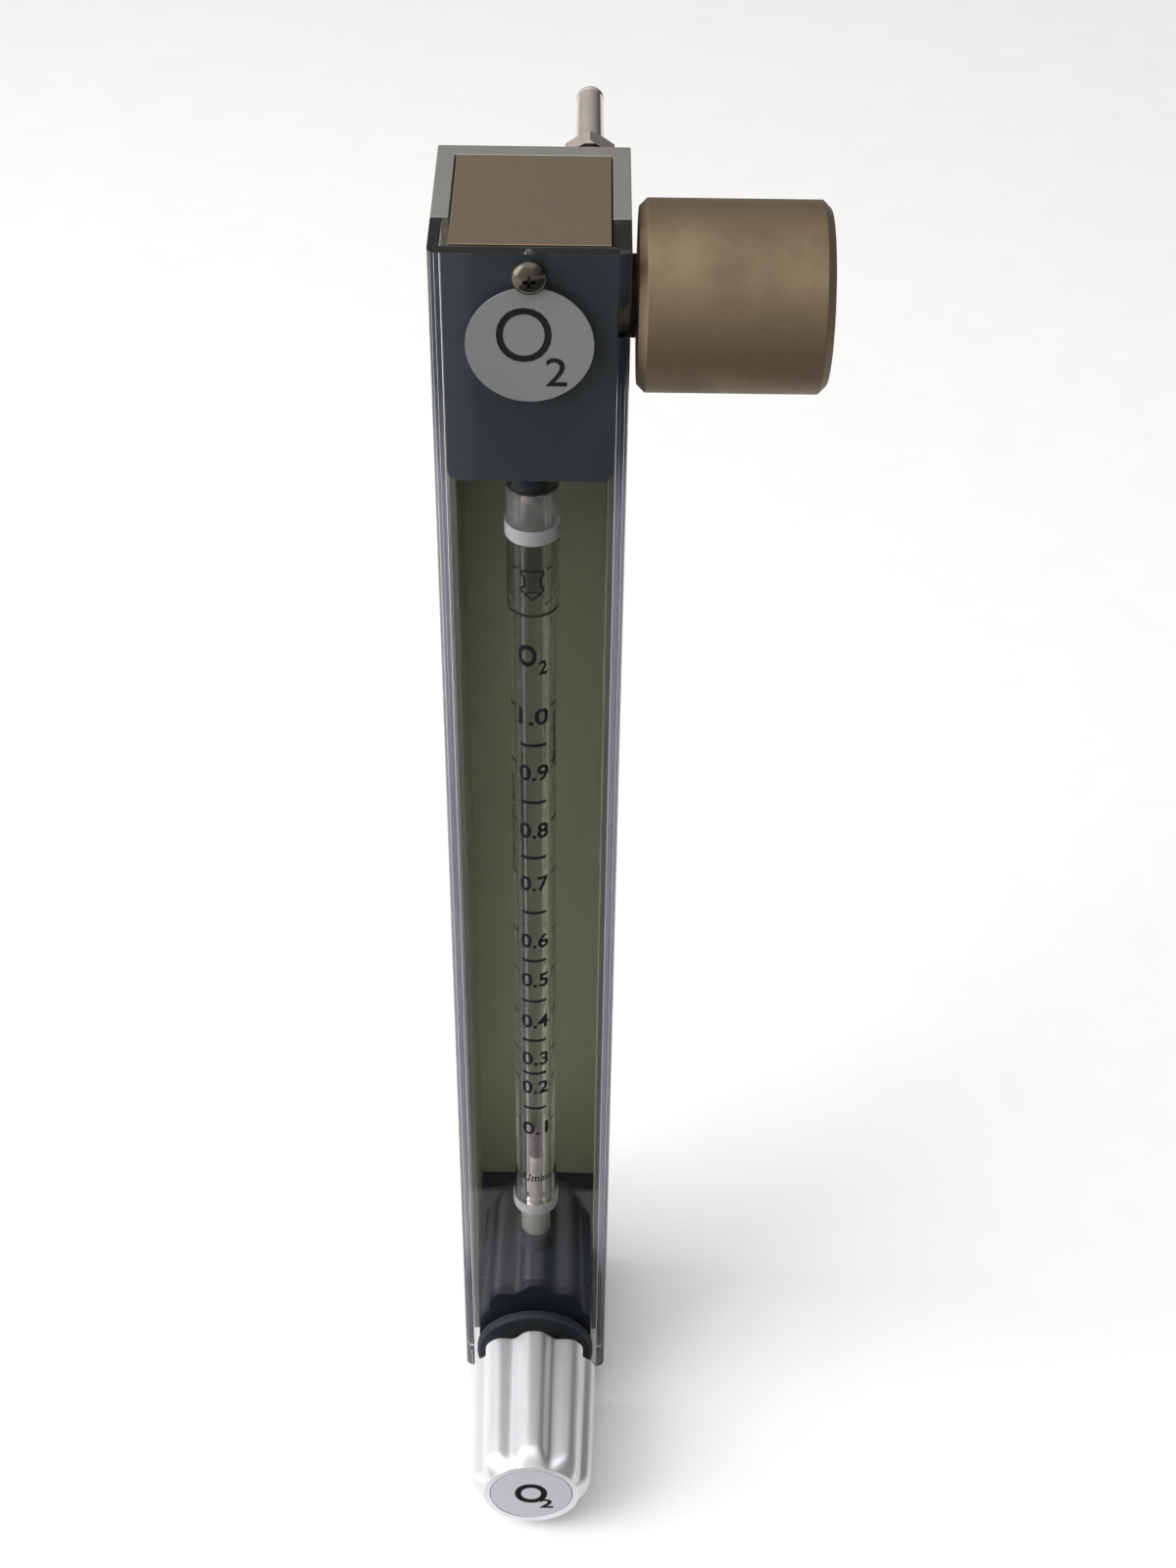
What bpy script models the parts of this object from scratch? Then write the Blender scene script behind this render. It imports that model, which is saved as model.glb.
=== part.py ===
"""Single-tube oxygen flowmeter with a needle valve, as an assembly of separate pieces.

Metres, +Z up. The origin is the centre of the housing's flat rear face. The front of the
flowmeter faces -Y, the scale tube stands upright and the side coupling points along +X.
"""

import math

import bmesh
import bpy
from mathutils import Matrix

MM = 0.001

# Housing: an aluminium U channel at the back, a clear U cover at the front.
WIDTH = 40.0 * MM
DEPTH = 46.0 * MM
HEIGHT = 360.0 * MM
ARM_THICKNESS = 3.7 * MM
BACK_THICKNESS = 4.2 * MM
COVER_DEPTH = 14.3 * MM
COVER_THICKNESS = 2.7 * MM
FLANGE_THICKNESS = 2.35 * MM
COVER_CORNER_RADIUS = 2.0 * MM
JOINT_GAP = 0.3 * MM

# The two blocks that hold the tube.
BLOCK_WIDTH = WIDTH - 2.0 * (ARM_THICKNESS + JOINT_GAP)
TOP_BLOCK_HEIGHT = 53.6 * MM
BOTTOM_BLOCK_HEIGHT = 39.0 * MM
MASK_THICKNESS = 0.4 * MM

# Knob.
KNOB_LOBES = 8
KNOB_RADIUS_REAR = 17.4 * MM
KNOB_RADIUS_FRONT = 16.2 * MM
KNOB_FLUTE_DEPTH = 2.4 * MM
KNOB_REAR = -7.5 * MM
KNOB_FRONT = -49.2 * MM
KNOB_CHAMFER = 2.8 * MM
KNOB_EDGE_RADIUS = 13.0 * MM
CAP_RADIUS = 11.2 * MM

# Tube and float, radii.
TUBE_RADIUS = 5.3 * MM
BORE_RADIUS_LOW = 2.25 * MM
BORE_RADIUS_HIGH = 2.75 * MM
SLEEVE_RADIUS = 5.9 * MM
FLOAT_RADIUS = 2.05 * MM

# Side coupling.
COUPLING_RADIUS = 19.6 * MM
COUPLING_LOW_X = 21.6 * MM
COUPLING_HIGH_X = 60.6 * MM
COUPLING_CHAMFER = 1.7 * MM
PORT_RADIUS = 9.6 * MM
PORT_DEPTH = 16.0 * MM

# Reference lines. Each group of turned pieces is measured along one of them.
FRONT_Y = -DEPTH
BOTTOM_Z = -HEIGHT / 2.0
TOP_Z = HEIGHT / 2.0
TUBE_BASE = (0.0, FRONT_Y + 18.0 * MM, BOTTOM_Z)
VALVE_FACE = (0.0, FRONT_Y, BOTTOM_Z + 10.0 * MM)
COUPLING_BASE = (0.0, FRONT_Y + 20.0 * MM, BOTTOM_Z + 340.0 * MM)
OUTLET_BASE = (11.5 * MM, 0.0, TOP_Z - 5.2 * MM)
INLET_BASE = (0.0, 0.0, VALVE_FACE[2])
COVER_SCREW_FACE = (0.0, FRONT_Y, TOP_Z - 4.7 * MM)
LABEL_FACE = (0.0, FRONT_Y, BOTTOM_Z + 340.0 * MM)
REAR_SCREW_X = 10.0 * MM
REAR_SCREW_HEIGHTS = {"low": 29.0 * MM, "high": 316.0 * MM}

ROUND_STEPS = 24
FINE_STEPS = 32
SMALL_STEPS = 16

# Turning a Screw shape so that its own Z axis lies along the named world axis.
AXIS_ROTATION = {
    "X": (0.0, math.pi / 2.0, 0.0),
    "Y": (-math.pi / 2.0, 0.0, 0.0),
    "Z": (0.0, 0.0, 0.0),
}


def clear_scene():
    for obj in list(bpy.data.objects):
        bpy.data.objects.remove(obj, do_unlink=True)


def make_collection(name):
    collection = bpy.data.collections.new(name)
    bpy.context.scene.collection.children.link(collection)
    return collection


clear_scene()
PARTS = make_collection("oxygen_flowmeter")
CUTTERS = make_collection("cutters")


def make_material(name, colour, roughness, metallic, alpha=1.0):
    material = bpy.data.materials.new(name)
    material.use_nodes = True
    shader = material.node_tree.nodes["Principled BSDF"]
    shader.inputs["Base Color"].default_value = (*colour, 1.0)
    shader.inputs["Roughness"].default_value = roughness
    shader.inputs["Metallic"].default_value = metallic
    shader.inputs["Alpha"].default_value = alpha
    material.diffuse_color = (*colour, alpha)
    return material


ALUMINIUM = make_material("anodised_aluminium", (0.50, 0.49, 0.46), 0.45, 1.0)
ACRYLIC = make_material("clear_acrylic", (0.78, 0.80, 0.82), 0.05, 0.0, 0.3)
BRASS = make_material("brass", (0.52, 0.40, 0.25), 0.38, 1.0)
BLACK = make_material("black_plastic", (0.035, 0.038, 0.042), 0.45, 0.0)
GLASS = make_material("tube_glass", (0.75, 0.77, 0.78), 0.03, 0.0, 0.35)
SLEEVE = make_material("clear_sleeve", (0.80, 0.80, 0.80), 0.12, 0.0, 0.35)
WHITE = make_material("white_plastic", (0.86, 0.86, 0.87), 0.40, 0.0)
STEEL = make_material("polished_steel", (0.62, 0.61, 0.58), 0.20, 1.0)
NICKEL = make_material("nickel_plate", (0.55, 0.54, 0.51), 0.25, 1.0)
KNOB_SILVER = make_material("satin_silver", (0.72, 0.72, 0.74), 0.35, 0.6)
CAP_GREY = make_material("cap_grey", (0.58, 0.58, 0.61), 0.50, 0.0)
LABEL_GREY = make_material("label_grey", (0.72, 0.71, 0.71), 0.55, 0.0)
FLOAT_PINK = make_material("float_pink", (0.42, 0.24, 0.30), 0.40, 0.0)
RUBBER = make_material("black_rubber", (0.02, 0.02, 0.02), 0.70, 0.0)
PTFE = make_material("white_ptfe", (0.88, 0.88, 0.86), 0.50, 0.0)


def finish_object(obj, material, collection):
    """Put an object in its collection and give it its material and shading."""
    for owner in list(obj.users_collection):
        owner.objects.unlink(obj)
    collection.objects.link(obj)
    if material is not None:
        obj.data.materials.append(material)
    if collection is CUTTERS:
        obj.hide_render = True
        obj.display_type = "WIRE"
    return obj


def object_from_bmesh(name, mesh_data, material, collection):
    mesh = bpy.data.meshes.new(name)
    mesh_data.to_mesh(mesh)
    mesh_data.free()
    obj = bpy.data.objects.new(name, mesh)
    return finish_object(obj, material, collection)


def box(name, low, high, material=None, collection=PARTS):
    """A closed box between two opposite corners."""
    shape = bmesh.new()
    size = [high[i] - low[i] for i in range(3)]
    centre = [(high[i] + low[i]) / 2.0 for i in range(3)]
    bmesh.ops.create_cube(shape, size=1.0, matrix=Matrix.Diagonal((*size, 1.0)))
    obj = object_from_bmesh(name, shape, material, collection)
    obj.location = centre
    return obj


def turned(name, axis, base, profile, material=None, steps=ROUND_STEPS, collection=PARTS):
    """Turn a profile of (radius, distance along the axis from base), outer side top to bottom.

    A profile that starts and ends on the axis makes a solid; any other is a closed ring.
    """
    is_solid = profile[0][0] == 0.0 and profile[-1][0] == 0.0
    shape = bmesh.new()
    verts = [shape.verts.new((radius, 0.0, height)) for radius, height in profile]
    for first, second in zip(verts, verts[1:]):
        shape.edges.new((first, second))
    if not is_solid:
        shape.edges.new((verts[-1], verts[0]))
    obj = object_from_bmesh(name, shape, material, collection)
    screw = obj.modifiers.new("turn", "SCREW")
    screw.steps = steps
    screw.render_steps = steps
    screw.use_merge_vertices = True
    screw.merge_threshold = 0.00001
    screw.use_smooth_shade = False
    obj.rotation_euler = AXIS_ROTATION[axis]
    obj.location = base
    return obj


def solid(*outline):
    """A solid profile: the outline's points with the axis at both ends."""
    return [(0.0, outline[0][1] * MM), *scaled(outline), (0.0, outline[-1][1] * MM)]


def scaled(points):
    return [(radius * MM, height * MM) for radius, height in points]


def ring(inner, outer, low, high):
    """A plain ring's profile, in millimetres."""
    return scaled([(inner, high), (outer, high), (outer, low), (inner, low)])


def rod(radius, low, high):
    """A plain rod's profile, in millimetres."""
    return solid((radius, high), (radius, low))


def cut(obj, *cutters):
    for cutter in cutters:
        modifier = obj.modifiers.new(cutter.name, "BOOLEAN")
        modifier.operation = "DIFFERENCE"
        modifier.object = cutter


def join(obj, *operands):
    for operand in operands:
        modifier = obj.modifiers.new(operand.name, "BOOLEAN")
        modifier.operation = "UNION"
        modifier.object = operand


def round_edges(obj, width, segments=2, angle=50.0):
    bevel = obj.modifiers.new("rounded_edges", "BEVEL")
    bevel.width = width
    bevel.segments = segments
    bevel.limit_method = "ANGLE"
    bevel.angle_limit = math.radians(angle)


def hole(name, axis, base, radius, low, high, steps=SMALL_STEPS):
    return turned(name, axis, base, rod(radius, low, high), None, steps, CUTTERS)


def o_ring(name, axis, base, major, minor, position):
    """A rubber ring, in millimetres: major radius, section radius, place along the axis."""
    section_sides = 6
    section = []
    for i in range(section_sides):
        turn = -2.0 * math.pi * i / section_sides
        section.append((major + minor * math.cos(turn), position + minor * math.sin(turn)))
    return turned(name, axis, base, scaled(section), RUBBER, SMALL_STEPS)


def cross_recess(name, face, head_front, length, width, depth):
    """Two crossed bars that cut a screwdriver recess into a head that faces along Y."""
    towards = 1.0 if depth > 0.0 else -1.0
    ends = sorted((head_front - towards * 1.0 * MM, head_front + depth))
    bars = []
    for label, half_x, half_z in (("a", length / 2, width / 2), ("b", width / 2, length / 2)):
        low = (face[0] - half_x, face[1] + ends[0], face[2] - half_z)
        high = (face[0] + half_x, face[1] + ends[1], face[2] + half_z)
        bars.append(box(name + "_" + label, low, high, None, CUTTERS))
    return bars


def build_shared_holes():
    """Bores that pass through more than one piece."""
    return {
        "coupling": hole("coupling_passage", "X", COUPLING_BASE, 6.5, 15.0, 24.0, ROUND_STEPS),
        "cover_screw": hole("cover_screw_hole", "Y", COVER_SCREW_FACE, 2.1, -1.0, 14.0),
        "valve_front": hole("valve_front_hole", "Y", VALVE_FACE, 7.3, -1.0, 15.0, ROUND_STEPS),
        "outlet_wall": hole("outlet_wall_hole", "Y", OUTLET_BASE, 4.1, -6.0, 1.0),
        "inlet_wall": hole("inlet_wall_hole", "Y", INLET_BASE, 4.1, -6.0, 1.0),
    }


def rear_screw_bases():
    """Name and axis point of each of the four screws that hold the blocks to the channel."""
    bases = {}
    for level, height in REAR_SCREW_HEIGHTS.items():
        for side, sign in (("left", -1.0), ("right", 1.0)):
            name = "rear_screw_" + level + "_" + side
            bases[name] = (sign * REAR_SCREW_X, 0.0, BOTTOM_Z + height)
    return bases


def build_channel(holes):
    half = WIDTH / 2.0
    front = FRONT_Y + COVER_DEPTH + JOINT_GAP
    channel = box("channel_housing", (-half, front, BOTTOM_Z), (half, 0.0, TOP_Z), ALUMINIUM)
    round_edges(channel, 0.5 * MM)
    inner = half - ARM_THICKNESS
    low = (-inner, front - 5.0 * MM, BOTTOM_Z - 5.0 * MM)
    high = (inner, -BACK_THICKNESS, TOP_Z + 5.0 * MM)
    cut(channel, box("channel_cavity", low, high, None, CUTTERS))
    cut(channel, holes["coupling"], holes["outlet_wall"], holes["inlet_wall"])
    for name, base in rear_screw_bases().items():
        profile = solid((4.1, 0.3), (3.8, 0.0), (2.1, -2.3), (2.1, -6.0))
        sink = turned(name + "_sink", "Y", base, profile, None, SMALL_STEPS, CUTTERS)
        cut(channel, sink)


def build_cover(holes):
    """The clear U cover: a front plate with two side flanges, its front corners rounded."""
    half = WIDTH / 2.0
    inner = half - FLANGE_THICKNESS
    rear = FRONT_Y + COVER_DEPTH
    inside = FRONT_Y + COVER_THICKNESS
    outline = []
    for sign, start in ((-1.0, math.pi), (1.0, 1.5 * math.pi)):
        centre_x = sign * (half - COVER_CORNER_RADIUS)
        for i in range(5):
            turn = start + math.pi / 2.0 * i / 4.0
            x = centre_x + COVER_CORNER_RADIUS * math.cos(turn)
            y = FRONT_Y + COVER_CORNER_RADIUS + COVER_CORNER_RADIUS * math.sin(turn)
            outline.append((x, y))
    outline += [(half, rear), (inner, rear), (inner, inside)]
    outline += [(-inner, inside), (-inner, rear), (-half, rear)]
    cover = extruded("front_cover", outline, BOTTOM_Z, TOP_Z, ACRYLIC)
    cut(cover, holes["coupling"], holes["cover_screw"], holes["valve_front"])


def extruded(name, outline, low, high, material):
    """A flat outline in X and Y, filled and given its height along Z."""
    curve = bpy.data.curves.new(name + "_outline", "CURVE")
    curve.dimensions = "2D"
    curve.fill_mode = "BOTH"
    curve.extrude = (high - low) / 2.0
    spline = curve.splines.new("POLY")
    spline.points.add(len(outline) - 1)
    for point, (x, y) in zip(spline.points, outline):
        point.co = (x, y, 0.0, 1.0)
    spline.use_cyclic_u = True
    guide = bpy.data.objects.new(name + "_outline", curve)
    guide.location = (0.0, 0.0, (high + low) / 2.0)
    bpy.context.scene.collection.objects.link(guide)
    bpy.context.view_layer.update()
    evaluated = guide.evaluated_get(bpy.context.evaluated_depsgraph_get())
    mesh = bpy.data.meshes.new_from_object(evaluated)
    welded = bmesh.new()
    welded.from_mesh(mesh)
    bmesh.ops.remove_doubles(welded, verts=welded.verts, dist=0.000001)
    welded.to_mesh(mesh)
    welded.free()
    obj = bpy.data.objects.new(name, mesh)
    obj.matrix_world = guide.matrix_world
    bpy.data.objects.remove(guide, do_unlink=True)
    return finish_object(obj, material, PARTS)


def build_cover_screw():
    """A domed M4 screw head with its shank in the top block."""
    dome = []
    for i in range(6):
        turn = math.pi / 2.0 * i / 6.0
        dome.append((3.6 * math.cos(turn), -0.9 - 1.9 * math.sin(turn)))
    outline = [(1.7, 12.0), (1.7, -0.1), (3.6, -0.1)] + dome
    screw = turned("cover_screw", "Y", COVER_SCREW_FACE, solid(*outline, (0.4, -2.8)), STEEL)
    cut(screw, *cross_recess("cover_screw_recess", COVER_SCREW_FACE, -2.8 * MM, 3.2 * MM,
                             0.8 * MM, 1.1 * MM))


def build_label():
    """A thin round gas label on the cover, notched round the screw's head."""
    label = turned("front_label", "Y", LABEL_FACE, rod(12.85, -0.5, -0.1), LABEL_GREY, FINE_STEPS)
    cut(label, hole("label_notch", "Y", COVER_SCREW_FACE, 3.8, -2.0, 2.0, ROUND_STEPS))


def build_top_block(holes):
    """Brass block: socket for the tube, side port, rear port and the drillings between."""
    half = BLOCK_WIDTH / 2.0
    mask_front = FRONT_Y + COVER_THICKNESS + JOINT_GAP
    block_front = mask_front + MASK_THICKNESS + JOINT_GAP
    low_z = TOP_Z - TOP_BLOCK_HEIGHT
    rear = -BACK_THICKNESS - JOINT_GAP
    block = box("top_block", (-half, block_front, low_z), (half, rear, TOP_Z), BRASS)
    round_edges(block, 0.4 * MM)
    riser_base = (OUTLET_BASE[0], COUPLING_BASE[1], BOTTOM_Z)
    tube_bores = solid((2.5, 341.0), (2.5, 321.6), (5.2, 321.6), (5.2, 300.0))
    outlet_bores = solid((4.0, -3.0), (4.0, -18.0), (1.75, -18.0), (1.75, -27.6))
    cut(
        block,
        turned("upper_tube_bores", "Z", TUBE_BASE, tube_bores, None, ROUND_STEPS, CUTTERS),
        hole("coupling_thread", "X", COUPLING_BASE, 6.2, -3.0, 20.0, ROUND_STEPS),
        turned("outlet_bores", "Y", OUTLET_BASE, outlet_bores, None, SMALL_STEPS, CUTTERS),
        hole("outlet_riser", "Z", riser_base, 1.5, 341.0, 354.8),
        holes["cover_screw"],
    )
    for name, base in rear_screw_bases().items():
        if base[2] > 0.0:
            cut(block, hole(name + "_thread", "Y", base, 2.0, -16.0, -3.0))
    mask_half = WIDTH / 2.0 - FLANGE_THICKNESS - JOINT_GAP
    mask_high = TOP_Z - 0.2 * MM
    mask = box("top_mask", (-mask_half, mask_front, low_z),
               (mask_half, mask_front + MASK_THICKNESS, mask_high), BLACK)
    cut(mask, holes["cover_screw"])


def build_bottom_block():
    """Black block: valve chamber from the front, gas inlet at the rear, tube socket on top."""
    half = BLOCK_WIDTH / 2.0
    front = FRONT_Y + COVER_THICKNESS + JOINT_GAP
    high_z = BOTTOM_Z + BOTTOM_BLOCK_HEIGHT
    rear = -BACK_THICKNESS - JOINT_GAP
    block = box("bottom_block", (-half, front, BOTTOM_Z), (half, rear, high_z), BLACK)
    round_edges(block, 0.4 * MM)
    valve_bores = solid((4.0, 43.0), (4.0, 33.0), (1.2, 33.0), (1.2, 28.6), (4.0, 28.6),
                        (4.0, 15.0), (7.3, 15.0), (7.3, -1.0))
    tube_bores = solid((5.2, 45.0), (5.2, 22.0), (2.0, 22.0), (2.0, 10.0))
    cut(
        block,
        turned("valve_bores", "Y", VALVE_FACE, valve_bores, None, ROUND_STEPS, CUTTERS),
        turned("lower_tube_bores", "Z", TUBE_BASE, tube_bores, None, ROUND_STEPS, CUTTERS),
    )
    for name, base in rear_screw_bases().items():
        if base[2] < 0.0:
            cut(block, hole(name + "_thread", "Y", base, 2.0, -16.0, -3.0))


def build_tube_group():
    """The glass tube, its sleeves, bands, end fittings, stop and float, along one line."""
    low_end, high_end = 58.6 * MM, 296.0 * MM
    profile = [(BORE_RADIUS_HIGH, high_end), (TUBE_RADIUS, high_end), (TUBE_RADIUS, low_end),
               (BORE_RADIUS_LOW, low_end)]
    turned("flow_tube", "Z", TUBE_BASE, profile, GLASS, FINE_STEPS)

    sleeve = SLEEVE_RADIUS / MM
    profile = scaled([(4.62, 305.9), (sleeve, 305.9), (sleeve, 264.7), (5.42, 264.7),
                      (5.42, 296.2), (4.62, 296.2)])
    turned("upper_sleeve", "Z", TUBE_BASE, profile, SLEEVE, FINE_STEPS)
    profile = scaled([(5.42, 70.0), (5.6, 70.0), (sleeve, 64.0), (sleeve, 55.4),
                      (4.15, 55.4), (4.15, 58.4), (5.42, 58.4)])
    turned("lower_sleeve", "Z", TUBE_BASE, profile, SLEEVE, FINE_STEPS)
    turned("upper_band", "Z", TUBE_BASE, ring(5.98, 6.22, 283.5, 287.2), WHITE, FINE_STEPS)
    turned("lower_band", "Z", TUBE_BASE, ring(5.98, 6.22, 55.7, 59.6), WHITE, FINE_STEPS)
    turned("sleeve_end_ring", "Z", TUBE_BASE, ring(5.42, 5.9, 263.9, 264.55), RUBBER, FINE_STEPS)

    profile = scaled([(2.0, 321.2), (4.9, 321.2), (4.9, 315.0), (3.95, 315.0), (3.95, 313.6),
                      (4.9, 313.6), (4.9, 306.1), (4.5, 306.1), (4.5, 296.4), (2.0, 296.4)])
    turned("upper_fitting", "Z", TUBE_BASE, profile, BLACK)
    o_ring("upper_fitting_seal", "Z", TUBE_BASE, 4.55, 0.5, 314.3)
    turned("upper_stop", "Z", TUBE_BASE, ring(1.0, 2.5, 292.8, 296.0), RUBBER, SMALL_STEPS)

    profile = scaled([(1.0, 76.0), (1.3, 76.0), (1.75, 75.0), (1.75, 66.0), (1.95, 65.0),
                      (1.95, 58.3), (4.05, 58.3), (4.05, 39.5), (4.9, 38.6), (4.9, 31.0),
                      (3.95, 31.0), (3.95, 29.6), (4.9, 29.6), (4.9, 22.4), (1.0, 22.4)])
    turned("lower_fitting", "Z", TUBE_BASE, profile, STEEL)
    o_ring("lower_fitting_seal", "Z", TUBE_BASE, 4.55, 0.5, 30.3)
    profile = scaled([(4.35, 44.5), (5.3, 44.5), (5.7, 44.1), (5.7, 39.3), (4.35, 39.3)])
    turned("lower_gland", "Z", TUBE_BASE, profile, BLACK)

    radius = FLOAT_RADIUS / MM
    profile = solid((0.7, 87.6), (radius, 86.2), (radius, 84.4), (1.75, 83.8), (1.75, 79.0),
                    (radius, 78.4), (radius, 77.2), (1.5, 76.3))
    turned("float", "Z", TUBE_BASE, profile, FLOAT_PINK, SMALL_STEPS)


def build_valve_group():
    """The needle valve: body, spindle, needle, guide, seat and seals, from front to rear."""
    profile = scaled([(5.2, 14.7), (6.9, 14.7), (6.9, 10.4), (5.95, 10.4), (5.95, 9.0),
                      (6.9, 9.0), (6.9, -5.9), (6.4, -6.4), (3.3, -6.4), (3.3, 0.0), (5.2, 0.0)])
    turned("valve_body", "Y", VALVE_FACE, profile, BRASS)
    o_ring("valve_body_seal", "Y", VALVE_FACE, 6.58, 0.5, 9.7)
    turned("knob_collar", "Y", VALVE_FACE, scaled([(7.2, -0.3), (16.6, -0.3), (16.6, -2.2),
                                                   (16.0, -2.8), (7.2, -2.8)]), BLACK, FINE_STEPS)
    nut = turned("bonnet_nut", "Y", VALVE_FACE, rod(10.2, -5.6, -3.1), STEEL, 6)
    cut(nut, hole("bonnet_nut_hole", "Y", VALVE_FACE, 7.2, -8.0, 0.0, ROUND_STEPS))

    profile = solid((1.75, -5.0), (1.75, 7.0), (2.9, 7.0), (2.9, 3.2), (4.9, 3.2), (4.9, 0.3),
                    (3.0, 0.3), (3.0, -1.4), (2.35, -1.4), (2.35, -2.6), (3.0, -2.6),
                    (3.0, -40.6), (1.55, -40.6), (1.55, -34.0))
    turned("spindle", "Y", VALVE_FACE, profile, STEEL)
    o_ring("spindle_seal", "Y", VALVE_FACE, 2.84, 0.4, -2.0)

    guide = turned("needle_guide", "Y", VALVE_FACE, rod(4.9, 7.4, 14.4), BRASS)
    cut(guide, square_bar("needle_guide_hole", 2.55, 0.0, 20.0))
    needle = turned("needle", "Y", VALVE_FACE, solid((0.35, 27.8), (1.6, 22.0), (1.6, 8.0),
                                                     (1.5, 8.0), (1.5, -3.0)), STEEL, SMALL_STEPS)
    join(needle, square_bar("needle_square", 2.2, 8.8, 13.8))
    turned("valve_seat", "Y", VALVE_FACE, ring(1.1, 3.7, 25.3, 28.3), PTFE, SMALL_STEPS)


def square_bar(name, half, front, rear):
    """A square bar along the valve's axis, in millimetres."""
    x, y, z = VALVE_FACE
    low = (x - half * MM, y + front * MM, z - half * MM)
    high = (x + half * MM, y + rear * MM, z + half * MM)
    return box(name, low, high, None, CUTTERS)


def flute_radius(angle, outer):
    """Radius of the knob's section: broad round lobes with narrower hollows between them."""
    wave = 0.5 - 0.5 * math.cos(KNOB_LOBES * angle)
    return outer - KNOB_FLUTE_DEPTH * wave ** 1.6


def build_knob():
    """The fluted knob, its face cap and the screw that holds it on the spindle."""
    front_end = KNOB_FRONT - 1.0 * MM
    shape = bmesh.new()
    bmesh.ops.create_cone(shape, cap_ends=True, segments=KNOB_LOBES * 12, radius1=1.0,
                          radius2=1.0, depth=1.0)
    for vert in shape.verts:
        is_rear = vert.co.z > 0.0
        angle = math.atan2(vert.co.x, vert.co.y)
        radius = flute_radius(angle, KNOB_RADIUS_REAR if is_rear else KNOB_RADIUS_FRONT)
        place = KNOB_REAR if is_rear else front_end
        vert.co = (radius * math.sin(angle), radius * math.cos(angle), place)
    knob = object_from_bmesh("knob_body", shape, KNOB_SILVER, PARTS)
    knob.rotation_euler = AXIS_ROTATION["Y"]
    knob.location = VALVE_FACE

    rear, front = KNOB_REAR / MM, KNOB_FRONT / MM
    cap_radius = CAP_RADIUS / MM
    recess = cap_radius + 0.1
    edge = KNOB_EDGE_RADIUS / MM
    outer = KNOB_RADIUS_REAR / MM + 1.0
    slope = KNOB_CHAMFER / (KNOB_RADIUS_FRONT - KNOB_EDGE_RADIUS)
    envelope = scaled([(12.5, rear + 1.0), (outer, rear + 1.0),
                       (outer, front + slope * (outer - edge)), (edge, front),
                       (recess, front), (recess, -47.5), (5.0, -47.5), (5.0, -43.0),
                       (1.7, -43.0), (1.7, -41.0), (3.3, -41.0), (3.3, rear - 3.0),
                       (12.5, rear - 3.0)])
    trim = knob.modifiers.new("turned_envelope", "BOOLEAN")
    trim.operation = "INTERSECT"
    trim.object = turned("knob_envelope", "Y", VALVE_FACE, envelope, None, FINE_STEPS, CUTTERS)

    turned("knob_cap", "Y", VALVE_FACE,
           solid((cap_radius, -47.8), (cap_radius, front + 0.3), (cap_radius - 0.3, front)),
           CAP_GREY, FINE_STEPS)
    screw = turned("knob_screw", "Y", VALVE_FACE,
                   solid((1.3, -35.0), (1.3, -43.2), (2.75, -43.2), (2.75, -44.8), (2.2, -45.4)),
                   STEEL, SMALL_STEPS)
    cut(screw, *cross_recess("knob_screw_recess", VALVE_FACE, -45.4 * MM, 2.6 * MM, 0.6 * MM,
                             1.0 * MM))


def build_coupling():
    """The turned brass coupling on the right, its threaded neck and its washer."""
    low, high = COUPLING_LOW_X / MM, COUPLING_HIGH_X / MM
    outer = COUPLING_RADIUS / MM
    bevel = COUPLING_CHAMFER / MM
    port = PORT_RADIUS / MM
    port_end = high - PORT_DEPTH / MM
    profile = scaled([(port + 0.8, high), (outer - bevel, high), (outer, high - bevel),
                      (outer, low + bevel), (outer - bevel, low), (6.2, low), (6.2, 34.0),
                      (3.0, 34.0), (3.0, port_end), (port, port_end), (port, high - 0.8)])
    turned("coupling_body", "X", COUPLING_BASE, profile, BRASS, FINE_STEPS)
    turned("coupling_neck", "X", COUPLING_BASE, ring(2.5, 5.9, 3.0, 33.6), BRASS)
    turned("coupling_washer", "X", COUPLING_BASE, ring(6.3, 8.5, 20.3, 21.3), BLACK)


def build_spigot(name, base):
    """A nickel hose spigot: thread through the rear wall, hexagon, slim taper, lip, gas bore."""
    outline = [(1.5, 34.0), (2.7, 34.0), (3.05, 33.6), (3.05, 33.0), (2.9, 32.7), (3.15, 6.2),
               (3.7, 6.2), (3.7, -12.0), (1.5, -12.0)]
    spigot = turned(name, "Y", base, scaled(outline), NICKEL)
    hexagon = turned(name + "_hexagon", "Y", base, ring(3.0, 6.0, 1.1, 6.2), None, 6, CUTTERS)
    hexagon.rotation_euler.y = math.radians(30.0)
    join(spigot, hexagon)


def build_rear_fittings():
    build_spigot("outlet_spigot", OUTLET_BASE)
    build_spigot("inlet_spigot", INLET_BASE)
    for name, base in (("outlet_washer", OUTLET_BASE), ("inlet_washer", INLET_BASE)):
        turned(name, "Y", base, ring(3.85, 5.1, 0.1, 0.8), BLACK)


def build_rear_screws():
    """Four countersunk M4 screws, flush in the channel's rear wall."""
    for name, base in rear_screw_bases().items():
        profile = solid((3.5, -0.2), (1.7, -2.2), (1.7, -15.0))
        screw = turned(name, "Y", base, profile, STEEL, SMALL_STEPS)
        cut(screw, *cross_recess(name + "_recess", base, -0.2 * MM, 3.0 * MM, 0.8 * MM,
                                 -1.2 * MM))


def shade_round_pieces():
    """Smooth shading with sharp edges kept, as the turned pieces need."""
    for obj in PARTS.objects:
        obj.data.shade_smooth()
        obj.data.set_sharp_from_angle(angle=math.radians(35.0))


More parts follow.
